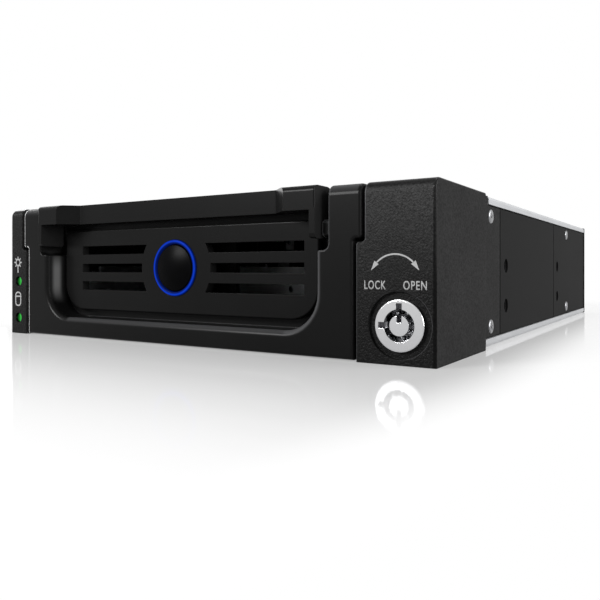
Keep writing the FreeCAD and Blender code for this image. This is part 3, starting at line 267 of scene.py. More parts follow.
def paintHighlightBand(tree, look, normal, spot, colour):
    # painted highlight: a paler patch halfway into the recess's left wall, where the glossy wall would catch
    # the light
    facingRight = addNode(tree, "ShaderNodeMapRange", {
        "From Min": look["bandFrom"], "From Max": look["bandTo"]}, {"Value": normal["X"]})
    onLeft = addNode(tree, "ShaderNodeMapRange", {
        "From Min": (look["bandLeftOf"] - look["bandBlend"]) * mm, "From Max": look["bandLeftOf"] * mm,
        "To Min": 1.0, "To Max": 0.0}, {"Value": spot["X"]})
    band = addNode(tree, "ShaderNodeMath", {"operation": "MULTIPLY"},
                   {0: facingRight.outputs[0], 1: onLeft.outputs[0]})
    for axis, middle, full, reach in (("Z", look["bandHeight"], look["bandCoreTall"], look["bandTall"]),
                                      ("Y", look["bandDepth"], look["bandCoreDeep"], look["bandDeep"])):
        off = addNode(tree, "ShaderNodeMath", {"operation": "SUBTRACT", 1: middle * mm}, {0: spot[axis]})
        span = addNode(tree, "ShaderNodeMath", {"operation": "ABSOLUTE"}, {0: off.outputs[0]})
        near = addNode(tree, "ShaderNodeMapRange", {
            "interpolation_type": "SMOOTHSTEP", "From Min": full * mm, "From Max": reach * mm,
            "To Min": 1.0, "To Max": 0.0}, {"Value": span.outputs[0]})
        band = addNode(tree, "ShaderNodeMath", {"operation": "MULTIPLY", "use_clamp": True},
                       {0: band.outputs[0], 1: near.outputs[0]})
    bandHighlighted = addNode(tree, "ShaderNodeMix", {"data_type": "RGBA", 7: toLinear(look["highlightBandTone"])},
                   {0: band.outputs[0], 6: colour})
    return bandHighlighted.outputs[2]


def grainFront(tree, look, normal, spot, colour, roughness):
    # only the half of the mould that forms the front is grained: its sides come out almost smooth
    facing = addNode(tree, "ShaderNodeMath", {"operation": "MULTIPLY", 1: -1.0}, {0: normal["Y"]})
    strength = addNode(tree, "ShaderNodeMapRange", {
        "From Min": look["grainFrom"], "From Max": look["grainTo"], "To Min": look["smoothSides"],
        "To Max": look["bump"]}, {"Value": facing.outputs[0]})
    # painted sheen: the front is painted paler towards its upper right, where the lamp's sheen falls
    height = addNode(tree, "ShaderNodeMapRange", {"From Max": look["topAt"] * mm}, {"Value": spot["Z"]})
    steep = addNode(tree, "ShaderNodeMath", {"operation": "POWER", 1: look["topPower"]},
                    {0: height.outputs[0]})
    toRight = addNode(tree, "ShaderNodeMapRange", {"From Max": look["rightAt"] * mm}, {"Value": spot["X"]})
    upperRight = addNode(tree, "ShaderNodeMath", {"operation": "MULTIPLY"},
                         {0: steep.outputs[0], 1: toRight.outputs[0]})
    front = addNode(tree, "ShaderNodeMath", {"operation": "MULTIPLY", "use_clamp": True},
                    {0: upperRight.outputs[0], 1: facing.outputs[0]})
    paintedSheen = addNode(tree, "ShaderNodeMapRange", {"To Min": 1.0, "To Max": look["topPaintedShading"]},
                    {"Value": front.outputs[0]})
    # the grain stops short of the top and the outer edge, which leaves a smooth border, darkened by painted
    # shade
    topEdge, sideEdge = look["topAt"] - look["topRim"], look["rightAt"] - look["sideRim"]
    topRim = addNode(tree, "ShaderNodeMapRange", {
        "From Min": (topEdge - look["topBlend"]) * mm, "From Max": topEdge * mm}, {"Value": spot["Z"]})
    sideRim = addNode(tree, "ShaderNodeMapRange", {
        "From Min": (sideEdge - look["sideBlend"]) * mm, "From Max": sideEdge * mm}, {"Value": spot["X"]})
    either = addNode(tree, "ShaderNodeMath", {"operation": "MAXIMUM"},
                     {0: topRim.outputs[0], 1: sideRim.outputs[0]})
    frontOnly = addNode(tree, "ShaderNodeMapRange", {"From Min": look["rimFrom"], "From Max": look["rimTo"]},
                        {"Value": facing.outputs[0]})
    rim = addNode(tree, "ShaderNodeMath", {"operation": "MULTIPLY"},
                  {0: either.outputs[0], 1: frontOnly.outputs[0]})
    inside = addNode(tree, "ShaderNodeMath", {"operation": "SUBTRACT", 0: 1.0}, {1: rim.outputs[0]})
    grained = addNode(tree, "ShaderNodeMath", {"operation": "MULTIPLY"},
                      {0: strength.outputs[0], 1: inside.outputs[0]})
    shade = addNode(tree, "ShaderNodeMapRange", {"To Min": look["rimPaintedShade"]}, {"Value": inside.outputs[0]})
    toned = addNode(tree, "ShaderNodeMath", {"operation": "MULTIPLY"},
                    {0: paintedSheen.outputs[0], 1: shade.outputs[0]})
    frontColour = addNode(tree, "ShaderNodeVectorMath", {"operation": "SCALE"},
                          {0: colour, "Scale": toned.outputs[0]})
    smoother = addNode(tree, "ShaderNodeMix", {3: look["rimRoughness"]}, {0: rim.outputs[0], 2: roughness})
    return frontColour.outputs[0], smoother.outputs[0], grained.outputs[0]


def mouldedPlastic(name, look):
    # spark-eroded mould skin, and the orange peel of a powder coat or ink: a fine even grain that breaks
    # the gloss, with the tone drifting slightly
    material, tree, shader = startMaterial(name, {
        "Roughness": look["roughness"], "IOR": look["ior"], "Specular IOR Level": look["specular"]})
    place = addNode(tree, "ShaderNodeTexCoord")
    drift = addNode(tree, "ShaderNodeTexNoise", {"Scale": 1 / (look["driftSize"] * mm), "Detail": 2.0},
                    {"Vector": place.outputs["Object"]})
    grain = addNode(tree, "ShaderNodeTexNoise",
                    {"Scale": 1 / (look["grainSize"] * mm), "Detail": 2.0, "Roughness": 0.6},
                    {"Vector": place.outputs["Object"]})
    tone = addNode(tree, "ShaderNodeMix", {
        "data_type": "RGBA", 6: toLinear(look["dark"]), 7: toLinear(look["light"])},
        {0: drift.outputs["Fac"]})
    fleck = addNode(tree, "ShaderNodeMapRange", {
        "From Min": noiseLow, "From Max": noiseHigh, "To Min": 1 - look["fleck"],
        "To Max": 1 + look["fleck"]}, {"Value": grain.outputs["Fac"]})
    flecked = addNode(tree, "ShaderNodeVectorMath", {"operation": "SCALE"},
                      {0: tone.outputs[2], "Scale": fleck.outputs[0]})
    edge = addNode(tree, "ShaderNodeBevel", {"samples": 6, "Radius": look["edge"] * mm})
    skin = addNode(tree, "ShaderNodeBump", {"Strength": look["bump"], "Distance": look["depth"] * mm},
                   {"Height": grain.outputs["Fac"], "Normal": edge.outputs[0]})
    colour = flecked.outputs[0]
    if "sideRoughness" in look:
        face = addNode(tree, "ShaderNodeNewGeometry")
        normal = addNode(tree, "ShaderNodeSeparateXYZ", links={"Vector": face.outputs["Normal"]}).outputs
        spot = addNode(tree, "ShaderNodeSeparateXYZ", links={"Vector": place.outputs["Object"]}).outputs
        colour, roughness = dullSidesPaintedPaler(tree, look, normal, spot, colour)
        if "paintedGleam" in look:
            colour = paintEdgeHighlights(tree, look, spot, colour)
        if "highlightBandTone" in look:
            colour = paintHighlightBand(tree, look, normal, spot, colour)
        if "smoothSides" in look:
            colour, roughness, strength = grainFront(tree, look, normal, spot, colour, roughness)
            tree.links.new(strength, skin.inputs["Strength"])
        tree.links.new(roughness, shader.inputs["Roughness"])
    tree.links.new(colour, shader.inputs["Base Color"])
    tree.links.new(skin.outputs[0], shader.inputs["Normal"])
    return material


# leather grain of the housing: flecked grey on the front, plain and dull on the sides; painted light makes
# the sides and the front's upper right paler, painted highlights line edges that face left, and painted shade
# darkens the front's smooth border
# lengths are in millimetres; grainFrom, sideFrom, rimFrom and their To are how squarely a wall has to face
housingAbs = mouldedPlastic("black ABS, leather grained mould", {
    "dark": "#0b0b0b", "light": "#101010", "roughness": 0.36, "ior": 1.53, "specular": 0.044,
    "grainSize": 0.45, "driftSize": 14, "fleck": 0.5, "bump": 1.0, "depth": 0.18, "edge": 0.12,
    "smoothSides": 0.05, "grainFrom": 0.2, "grainTo": 0.8, "sideRoughness": 0.8, "sideFrom": 0.95,
    "sideTo": 0.995, "sidePaintedLight": 2.6, "dullTop": 36, "paintedGleam": "#303031", "highlightUp": 0.0,
    "highlightLeft": 1.5, "highlightWidth": 0.4, "highlightFull": 0.16, "topAt": 41.3, "topPaintedShading": 5.5,
    "topPower": 3.0, "rightAt": 74.5, "topRim": 1.1, "topBlend": 0.7, "sideRim": 0.6, "sideBlend": 0.3,
    "rimFrom": 0.15, "rimTo": 0.5, "rimPaintedShade": 0.4, "rimRoughness": 0.1})
# satin mould of the tray and the bail: even black with a soft sheen on its rounded edges; painted light makes
# its sideways walls paler
satinLook = {
    "dark": "#090909", "light": "#0d0d0d", "roughness": 0.28, "ior": 1.53, "specular": 0.05,
    "grainSize": 0.3, "driftSize": 14, "fleck": 0.12, "bump": 0.4, "depth": 0.02, "edge": 0.15,
    "sideRoughness": 0.8, "sideFrom": 0.85, "sideTo": 0.995, "sidePaintedLight": 2.4, "dullTop": 36}
trayAbs = mouldedPlastic("black ABS, satin mould", satinLook)
# the tray's front gets painted highlights: paler edges that face up or left, and a fine light line on its
# outer left edge
paintedHighlightAbs = mouldedPlastic("black ABS, satin mould, painted edge highlights", {
    **satinLook, "paintedGleam": "#39393a", "highlightUp": 0.8, "highlightLeft": 8.0, "highlightWidth": 0.6,
    "highlightFull": 0.16, "paintedLine": "#c8c8c8", "paintedLineAt": -58, "paintedLineBlend": 0.5,
    # painted highlight: a paler band on the recess's left wall
    "highlightBandTone": "#5e5e5e", "bandFrom": 0.55, "bandTo": 0.98, "bandLeftOf": -36, "bandBlend": 4,
    "bandDepth": -101.4, "bandCoreDeep": 0.46, "bandDeep": 2.3, "bandHeight": 18.8, "bandCoreTall": 2.25,
    "bandTall": 9})
# fine spark-eroded skin and powder coat: both dead matt, the coat a little coarser
sideLook = {
    "dark": "#0a0a0a", "light": "#0d0d0d", "roughness": 0.78, "ior": 1.53, "specular": 0.065,
    "grainSize": 0.3, "driftSize": 18, "fleck": 0.1, "bump": 0.3, "depth": 0.02, "edge": 0.12}
rearAbs = mouldedPlastic("black ABS, fine mould", sideLook)
sidePaint = mouldedPlastic("black powder coat on steel sheet", {
    **sideLook, "grainSize": 0.35, "driftSize": 25})
# glass fibre at the skin gives the next two a greyer, rougher black
fanPbt = mouldedPlastic("black PBT, glass filled", {
    "dark": "#141414", "light": "#1a1a1a", "roughness": 0.5, "ior": 1.57, "specular": 0.35,
    "grainSize": 0.5, "driftSize": 6, "fleck": 0.1, "bump": 0.2, "depth": 0.02, "edge": 0.15})
blackNylon = mouldedPlastic("black glass filled nylon", {
    "dark": "#131314", "light": "#19191a", "roughness": 0.55, "ior": 1.53, "specular": 0.3,
    "grainSize": 0.4, "driftSize": 5, "fleck": 0.12, "bump": 0.2, "depth": 0.02, "edge": 0.12})
# undyed connector nylon: warm off-white, half matt
whiteNylon = mouldedPlastic("natural white nylon", {
    "dark": "#d9d4c4", "light": "#e6e2d6", "roughness": 0.45, "ior": 1.53, "specular": 0.4,
    "grainSize": 0.6, "driftSize": 8, "fleck": 0.02, "bump": 0.1, "depth": 0.02, "edge": 0.12})
# acetal from a smooth mould: an even skin with a waxy gloss
blackAcetal = mouldedPlastic("black acetal", {
    "dark": "#101011", "light": "#151516", "roughness": 0.36, "ior": 1.48, "specular": 0.35,
    "grainSize": 0.8, "driftSize": 20, "fleck": 0.05, "bump": 0.1, "depth": 0.02, "edge": 0.2})
whiteAcetal = mouldedPlastic("natural acetal", {
    "dark": "#dcdad2", "light": "#e7e6e0", "roughness": 0.38, "ior": 1.48, "specular": 0.45,
    "grainSize": 0.8, "driftSize": 20, "fleck": 0.02, "bump": 0.1, "depth": 0.02, "edge": 0.2})
# printed ink: a thin matt grey film
greyInk = mouldedPlastic("grey pad printing ink", {
    "dark": "#7a7a7a", "light": "#888888", "roughness": 0.6, "ior": 1.5, "specular": 0.3,
    "grainSize": 0.3, "driftSize": 2, "fleck": 0.06, "bump": 0.1, "depth": 0.01, "edge": 0.01})


def metalSheet(name, look):
    # rolled sheet or plated steel: fine lines along it break up a soft, cloudy gloss; they are drawn coarser
    # than real ones, so that they show
    material, tree, shader = startMaterial(name, {"Metallic": 1.0})
    place = addNode(tree, "ShaderNodeTexCoord")
    wide, long = 1 / (look["lineWidth"] * mm), 1 / (look["lineLength"] * mm)
    stretch = addNode(tree, "ShaderNodeMapping", {"Scale": (wide, long, wide)},
                      {"Vector": place.outputs["Object"]})
    lines = addNode(tree, "ShaderNodeTexNoise", {"Scale": 1.0, "Detail": 3.0, "Roughness": 0.6},
                    {"Vector": stretch.outputs[0]})
    cloud = addNode(tree, "ShaderNodeTexNoise", {"Scale": 1 / (look["cloudSize"] * mm), "Detail": 3.0},
                    {"Vector": place.outputs["Object"]})
    tone = addNode(tree, "ShaderNodeMix", {
        "data_type": "RGBA", 6: toLinear(look["dark"]), 7: toLinear(look["light"])},
        {0: cloud.outputs["Fac"]})
    rough = addNode(tree, "ShaderNodeMapRange", {
        "From Min": noiseLow, "From Max": noiseHigh, "To Min": look["roughLow"], "To Max": look["roughHigh"]},
        {"Value": lines.outputs["Fac"]})
    edge = addNode(tree, "ShaderNodeBevel", {"samples": 4, "Radius": look["edge"] * mm})
    skin = addNode(tree, "ShaderNodeBump", {"Strength": look["bump"], "Distance": 0.01 * mm},
                   {"Height": lines.outputs["Fac"], "Normal": edge.outputs[0]})
    colour, roughness = tone.outputs[2], rough.outputs[0]
    if "topPaintedShading" in look:
        # the flat of a cover is duller than its folded lips, and painted shade darkens it against the lamps'
        # glare
        face = addNode(tree, "ShaderNodeNewGeometry")
        normal = addNode(tree, "ShaderNodeSeparateXYZ", links={"Vector": face.outputs["Normal"]})
        flat = addNode(tree, "ShaderNodeMapRange", {"From Min": look["topFrom"], "From Max": look["topTo"]},
                       {"Value": normal.outputs["Z"]})
        dim = addNode(tree, "ShaderNodeMapRange", {"To Min": 1.0, "To Max": look["topPaintedShading"]},
                      {"Value": flat.outputs[0]})
        roughness = addNode(tree, "ShaderNodeMix", {3: look["topRough"]},
                            {0: flat.outputs[0], 2: roughness}).outputs[0]
        colour = addNode(tree, "ShaderNodeVectorMath", {"operation": "SCALE"},
                         {0: colour, "Scale": dim.outputs[0]}).outputs[0]
    tree.links.new(colour, shader.inputs["Base Color"])
    tree.links.new(roughness, shader.inputs["Roughness"])
    tree.links.new(skin.outputs[0], shader.inputs["Normal"])
    return material


# rolled and brushed along its length: a pale, streaky grey
millAluminium = metalSheet("bare aluminium sheet, lightly brushed", {
    "dark": "#a0a1a3", "light": "#acadaf", "lineWidth": 0.30303, "lineLength": 16.6667, "cloudSize": 12,
    "roughLow": 0.46, "roughHigh": 0.6, "bump": 0.25, "edge": 0.1, "topPaintedShading": 0.6, "topRough": 0.68,
    "topFrom": 0.9, "topTo": 0.99})
# zinc in small crystals: mottled and half matt
zincSteel = metalSheet("electro galvanised steel sheet", {
    "dark": "#b4b7b8", "light": "#c6c9ca", "lineWidth": 1.11111, "lineLength": 1.42857, "cloudSize": 5,
    "roughLow": 0.42, "roughHigh": 0.55, "bump": 0.25, "edge": 0.1})
# bright plating: warm and clear
nickelSteel = metalSheet("nickel plated steel", {
    "dark": "#c9c5bc", "light": "#dad6ce", "lineWidth": 0.625, "lineLength": 0.625, "cloudSize": 1.5,
    "roughLow": 0.16, "roughHigh": 0.26, "bump": 0.1, "edge": 0.08})
# drawn wire: darker, with a soft gloss
springSteel = metalSheet("spring steel wire", {
    "dark": "#8e8f92", "light": "#a5a6a8", "lineWidth": 0.4, "lineLength": 0.4, "cloudSize": 2,
    "roughLow": 0.25, "roughHigh": 0.36, "bump": 0.2, "edge": 0.05})
# thin zinc gone blotchy between light and dark
screwSteel = metalSheet("zinc plated screw, dulled", {
    "dark": "#303134", "light": "#a4a5a7", "lineWidth": 0.83333, "lineLength": 0.83333, "cloudSize": 1.3,
    "roughLow": 0.2, "roughHigh": 0.36, "bump": 0.2, "edge": 0.08})
# a thin gold flash on a stamped strip: yellow and clear
goldContact = metalSheet("gold flashed contact", {
    "dark": "#d9b25c", "light": "#e6c473", "lineWidth": 0.33333, "lineLength": 0.33333, "cloudSize": 1,
    "roughLow": 0.2, "roughHigh": 0.3, "bump": 0.1, "edge": 0.05})
# blackened in a hot bath: a dark, oily grey
blackSteel = metalSheet("black oxide steel", {
    "dark": "#232324", "light": "#303032", "lineWidth": 0.625, "lineLength": 0.625, "cloudSize": 1.5,
    "roughLow": 0.35, "roughHigh": 0.5, "bump": 0.1, "edge": 0.08})


def platedCasting(name, look):
    # satin chrome on a zinc casting: bright on the face and painted paler towards its top; painted shade
    # greys the key groove except on its lower right, where a paler painted reflection shows
    material, tree, shader = startMaterial(name, {"Metallic": 1.0, "Roughness": look["roughness"]})
    place = addNode(tree, "ShaderNodeTexCoord")
    split = addNode(tree, "ShaderNodeSeparateXYZ", links={"Vector": place.outputs["Object"]})
    depth = addNode(tree, "ShaderNodeMapRange", {
        "From Min": (look["front"] + look["cleanTo"]) * mm,
        "From Max": (look["front"] + look["darkFrom"]) * mm}, {"Value": split.outputs["Y"]})
    height = addNode(tree, "ShaderNodeMapRange", {
        "From Min": look["low"] * mm, "From Max": look["high"] * mm}, {"Value": split.outputs["Z"]})
    cloud = addNode(tree, "ShaderNodeTexNoise", {"Scale": 1 / (look["cloudSize"] * mm), "Detail": 2.0},
                    {"Vector": place.outputs["Object"]})
    # painted light: the face is paler towards its top
    bright = addNode(tree, "ShaderNodeMix", {
        "data_type": "RGBA", 6: toLinear(look["lower"]), 7: toLinear(look["upper"])},
        {0: height.outputs[0]})
    # painted reflection: a paler patch on the groove's lower right, painted shade in the rest of the groove
    side = addNode(tree, "ShaderNodeMath", {"operation": "SUBTRACT"},
                   {0: split.outputs["X"], 1: split.outputs["Z"]})
    gleamLine = addNode(tree, "ShaderNodeMath", {"operation": "MULTIPLY_ADD", 1: look["cloudSwing"] * mm},
                    {0: cloud.outputs["Fac"], 2: side.outputs[0]})
    paintedGleam = addNode(tree, "ShaderNodeMapRange", {
        "From Min": look["gleamFrom"] * mm, "From Max": look["gleamTo"] * mm}, {"Value": gleamLine.outputs[0]})
    paintedGrooveShading = addNode(tree, "ShaderNodeMix", {
        "data_type": "RGBA", 6: toLinear(look["paintedGrooveShading"]), 7: toLinear(look["paintedHighlight"])},
        {0: paintedGleam.outputs[0]})
    tone = addNode(tree, "ShaderNodeMix", {"data_type": "RGBA"},
                   {0: depth.outputs[0], 6: bright.outputs[2], 7: paintedGrooveShading.outputs[2]})
    edge = addNode(tree, "ShaderNodeBevel", {"samples": 6, "Radius": look["edge"] * mm})
    skin = addNode(tree, "ShaderNodeBump", {"Strength": 0.1, "Distance": 0.02 * mm},
                   {"Height": cloud.outputs["Fac"], "Normal": edge.outputs[0]})
    tree.links.new(tone.outputs[2], shader.inputs["Base Color"])
    tree.links.new(skin.outputs[0], shader.inputs["Normal"])
    return material


chromePlate = platedCasting("satin chrome on zinc casting", {
    "front": -105.3, "cleanTo": 0.35, "darkFrom": 1.2, "low": 3, "high": 14.6, "upper": "#c0c0c1",
    "lower": "#b4b4b6", "paintedGrooveShading": "#7a7a7d", "paintedHighlight": "#b4b4b6", "cloudSize": 1.7, "cloudSwing": 4,
    "gleamFrom": 58.0, "gleamTo": 61.2, "roughness": 0.2, "edge": 0.15})


def circuitBoard(name, look):
    # glass epoxy under solder mask: copper runs show through as slightly lighter lines
    material, tree, shader = startMaterial(name, {
        "Roughness": look["roughness"], "IOR": 1.52, "Specular IOR Level": look["specular"]})
    place = addNode(tree, "ShaderNodeTexCoord")
    turn = addNode(tree, "ShaderNodeMapping", {"Rotation": (math.radians(90), 0, 0)},
                   {"Vector": place.outputs["Object"]})
    runs = addNode(tree, "ShaderNodeTexBrick", {
        "Scale": 1 / (look["runPitch"] * mm), "Mortar Size": 0.12, "Mortar Smooth": 0.2, "Brick Width": 4.0,
        "Row Height": 0.5, "Color1": (0, 0, 0, 1), "Color2": (0.15, 0.15, 0.15, 1), "Mortar": (1, 1, 1, 1)},
        {"Vector": turn.outputs[0]})
    tone = addNode(tree, "ShaderNodeMix", {
        "data_type": "RGBA", 6: toLinear(look["mask"]), 7: toLinear(look["run"])},
        {0: runs.outputs["Color"]})
    skin = addNode(tree, "ShaderNodeBump", {"Strength": 0.3, "Distance": 0.035 * mm},
                   {"Height": runs.outputs["Color"]})
    tree.links.new(tone.outputs[2], shader.inputs["Base Color"])
    tree.links.new(skin.outputs[0], shader.inputs["Normal"])
    return material


greenBoard = circuitBoard("glass epoxy board, green mask", {
    "mask": "#0c4a2b", "run": "#1c6b3d", "runPitch": 1.27, "roughness": 0.34, "specular": 0.5})
blackMask = circuitBoard("glass epoxy board, black mask", {
    "mask": "#040404", "run": "#080908", "runPitch": 1.27, "roughness": 0.6, "specular": 0.1})


def litLens(name, look):
    # tinted clear plastic lit from behind: the light leaves at the front face, brightest where the lamp sits
    material, tree, shader = startMaterial(name, {
        "Base Color": toLinear(look["base"]), "Roughness": look["roughness"], "IOR": 1.49,
        "Specular IOR Level": 0.015, "Emission Strength": look["strength"]})
    place = addNode(tree, "ShaderNodeTexCoord")
    haze = addNode(tree, "ShaderNodeTexNoise", {"Scale": 1 / (look["hazeSize"] * mm), "Detail": 2.0},
                   {"Vector": place.outputs["Object"]})
    tone = addNode(tree, "ShaderNodeMix", {
        "data_type": "RGBA", 6: toLinear(look["dim"]), 7: toLinear(look["bright"])},
        {0: haze.outputs["Fac"]})
    spot = addNode(tree, "ShaderNodeSeparateXYZ", links={"Vector": place.outputs["Object"]}).outputs
    low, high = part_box(look["node"])
    wide = high.x - low.x
    glow = addNode(tree, "ShaderNodeMapRange", {
        "From Min": low.y + look["lit"] * mm, "From Max": low.y + look["unlit"] * mm, "To Min": 1.0,
        "To Max": 0.0}, {"Value": spot["Y"]})
    if "shadowedSide" in look:
        # painted shadow: the lens's outer side is darkened, as the recess round it would shade it
        shape = addNode(tree, "ShaderNodeMapRange", {
            "From Min": low.x + (look["shadowedSide"] - look["shadowedBlend"]) * wide,
            "From Max": low.x + (look["shadowedSide"] + look["shadowedBlend"]) * wide, "To Min": look["darkest"]},
            {"Value": spot["X"]})
    else:
        # a ring is brightest along the middle of its band
        flat = addNode(tree, "ShaderNodeCombineXYZ", links={"X": spot["X"], "Y": spot["Z"]})
        middle = ((low.x + high.x) / 2, (low.z + high.z) / 2, 0)
        away = addNode(tree, "ShaderNodeVectorMath", {"operation": "DISTANCE", 1: middle},
                       {0: flat.outputs[0]})
        off = addNode(tree, "ShaderNodeMath", {"operation": "SUBTRACT", 1: (wide - look["band"] * mm) / 2},
                      {0: away.outputs["Value"]})
        span = addNode(tree, "ShaderNodeMath", {"operation": "ABSOLUTE"}, {0: off.outputs[0]})
        shape = addNode(tree, "ShaderNodeMapRange", {
            "From Min": look["core"] * mm / 2, "From Max": look["band"] * mm / 2, "To Min": 1.0,
            "To Max": look["offBand"]}, {"Value": span.outputs[0]})
    strength = addNode(tree, "ShaderNodeMath", {"operation": "MULTIPLY"},
                       {0: glow.outputs[0], 1: shape.outputs[0]})
    shown = addNode(tree, "ShaderNodeVectorMath", {"operation": "SCALE"},
                    {0: tone.outputs[2], "Scale": strength.outputs[0]})
    tree.links.new(shown.outputs[0], shader.inputs["Emission Color"])
    return material


greenPipe = litLens("clear green acrylic light pipe", {
    "base": "#0a3810", "dim": "#10781f", "bright": "#3ed04e", "strength": 1.25, "roughness": 0.2,
    "hazeSize": 0.9, "node": "status_light_pipes", "lit": 0.8, "unlit": 1.6, "shadowedSide": 0.48,
    "shadowedBlend": 0.15, "darkest": 0.05})
blueRing = litLens("blue acrylic ring", {
    "base": "#01062a", "dim": "#032288", "bright": "#0530a4", "strength": 1.7, "roughness": 0.35,
    "hazeSize": 2.5, "node": "light_ring", "lit": 0.4, "unlit": 1.2, "band": 0.9, "core": 0.1,
    "offBand": 0.12})


def polishedPlastic(name, look):
    # moulded in a polished tool and dulled a little by fingers: a soft gloss with a barely visible ripple
    material, tree, shader = startMaterial(name, {
        "Roughness": look["roughness"], "IOR": 1.585, "Specular IOR Level": look["specular"]})
    place = addNode(tree, "ShaderNodeTexCoord")
    ripple = addNode(tree, "ShaderNodeTexNoise", {"Scale": 1 / (look["ripple"] * mm), "Detail": 1.0},
                     {"Vector": place.outputs["Object"]})
    tone = addNode(tree, "ShaderNodeMix", {
        "data_type": "RGBA", 6: toLinear(look["dark"]), 7: toLinear(look["light"])},
        {0: ripple.outputs["Fac"]})
    edge = addNode(tree, "ShaderNodeBevel", {"samples": 4, "Radius": look["edge"] * mm})
    skin = addNode(tree, "ShaderNodeBump", {"Strength": look["bump"], "Distance": look["depth"] * mm},
                   {"Height": ripple.outputs["Fac"], "Normal": edge.outputs[0]})
    tree.links.new(tone.outputs[2], shader.inputs["Base Color"])
    tree.links.new(skin.outputs[0], shader.inputs["Normal"])
    return material


glossBlack = polishedPlastic("polished black polycarbonate", {
    "dark": "#020202", "light": "#030304", "roughness": 0.3, "specular": 0.014, "ripple": 3, "edge": 0.15,
    "bump": 0.1, "depth": 0.02})

nodeFinish = {
    "front_housing": housingAbs, "rear_housing": rearAbs, "tray_front": paintedHighlightAbs, "handle": trayAbs,
    "grille_panel": trayAbs, "left_side_plate": sidePaint, "right_side_plate": sidePaint,
    "top_cover": millAluminium, "bottom_cover": millAluminium,
    "left_guide_rail": blackAcetal, "right_guide_rail": blackAcetal,
    "left_runner": blackNylon, "right_runner": blackNylon,
    "side_screws": screwSteel, "rail_screws": nickelSteel, "fan_screws": nickelSteel,
    "tray_screws": nickelSteel, "cam_screw": nickelSteel, "switch_board_screws": blackSteel,
    "hinge_pins": nickelSteel,
    "backplane_board": greenBoard, "light_board": greenBoard, "switch_board": blackMask,
    "drive_receptacle": blackNylon, "data_socket": blackNylon, "power_socket": whiteNylon,
    "key_switch": blackNylon, "switch_plunger": whiteAcetal, "tact_switch": blackNylon,
    "fan_frame": fanPbt, "fan_rotor": fanPbt,
    "lock_body": chromePlate, "lock_core": chromePlate, "lock_cam": zincSteel, "lock_clip": springSteel,
    "button_spring": springSteel, "tray_pan": zincSteel,
    "status_light_pipes": greenPipe, "light_ring": blueRing, "power_button": glossBlack,
}
for nodeName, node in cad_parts.items():
    if not node.data.materials:
        node.data.materials.append(nodeFinish[nodeName])
    for slot in node.material_slots:
        slot.material = nodeFinish[nodeName]
print("materials ready:", len(nodeFinish), "nodes finished")


def workOn(piece):
    bpy.ops.object.select_all(action="DESELECT")
    piece.select_set(True)
    bpy.context.view_layer.objects.active = piece


def pickFaces(piece, test):
    # in edit mode: leaves only the faces that pass the test selected
    bpy.ops.mesh.select_mode(type="FACE")
    bpy.ops.mesh.select_all(action="DESELECT")
    bpy.ops.object.mode_set(mode="OBJECT")
    for face in piece.data.polygons:
        face.select = test(face)
    bpy.ops.object.mode_set(mode="EDIT")


def smoothOver(degrees):
    # back to object mode, with edges under this angle shaded round
    bpy.ops.object.mode_set(mode="OBJECT")
    bpy.ops.object.shade_smooth_by_angle(angle=math.radians(degrees))


def settle(piece, name, body, finish, stands=()):
    # fixes the place in the mesh, names the piece and hangs it on its body
    workOn(piece)
    bpy.ops.object.transform_apply(location=True, rotation=True, scale=True)
    piece.name = name
    piece.data.name = name
    piece.data.materials.clear()
    piece.data.materials.append(finish)
    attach(piece, body)
    if stands:
        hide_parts(*stands)


def copyOf(piece, place):
    workOn(piece)
    bpy.ops.object.duplicate(linked=False)
    twin = bpy.context.object
    twin.location = place
    return twin


def joinAll(parts):
    bpy.ops.object.select_all(action="DESELECT")
    for part in parts:
        part.select_set(True)
    bpy.context.view_layer.objects.active = parts[0]
    bpy.ops.object.join()
    return bpy.context.object


def copiesJoined(model, places):
    # one piece made of copies of a model, which is then thrown away
    twins = [copyOf(model, place) for place in places]
    bpy.data.objects.remove(model)
    return joinAll(twins)


def newBlock(low, high, edge):
    # a block between two corners given in millimetres, with every edge rounded over
    bpy.ops.object.select_all(action="DESELECT")
    middle = [(a + b) / 2 * mm for a, b in zip(low, high)]
    bpy.ops.mesh.primitive_cube_add(size=1, location=middle)
    block = bpy.context.object
    block.scale = [(b - a) * mm for a, b in zip(low, high)]
    bpy.ops.object.transform_apply(location=True, rotation=True, scale=True)
    bpy.ops.object.mode_set(mode="EDIT")
    bpy.ops.mesh.select_all(action="SELECT")
    bpy.ops.mesh.bevel(offset=edge * mm, segments=2, affect="EDGES")
    smoothOver(40)
    return block


def newRod(radius, length, middle, vertices):
    # a cylinder that lies front to back, left in edit mode; radius, length and middle in metres
    bpy.ops.object.select_all(action="DESELECT")
    bpy.ops.mesh.primitive_cylinder_add(vertices=vertices, radius=radius, depth=length, location=middle,
                                        rotation=(math.radians(90), 0, 0))
    bpy.ops.object.transform_apply(location=True, rotation=True, scale=True)
    bpy.ops.object.mode_set(mode="EDIT")
    return bpy.context.object


# how much of its height a pan head is rounded over, and how far the cross narrows towards its foot
crossLook = {"sides": 40, "rounding": 0.62, "taper": 0.45}


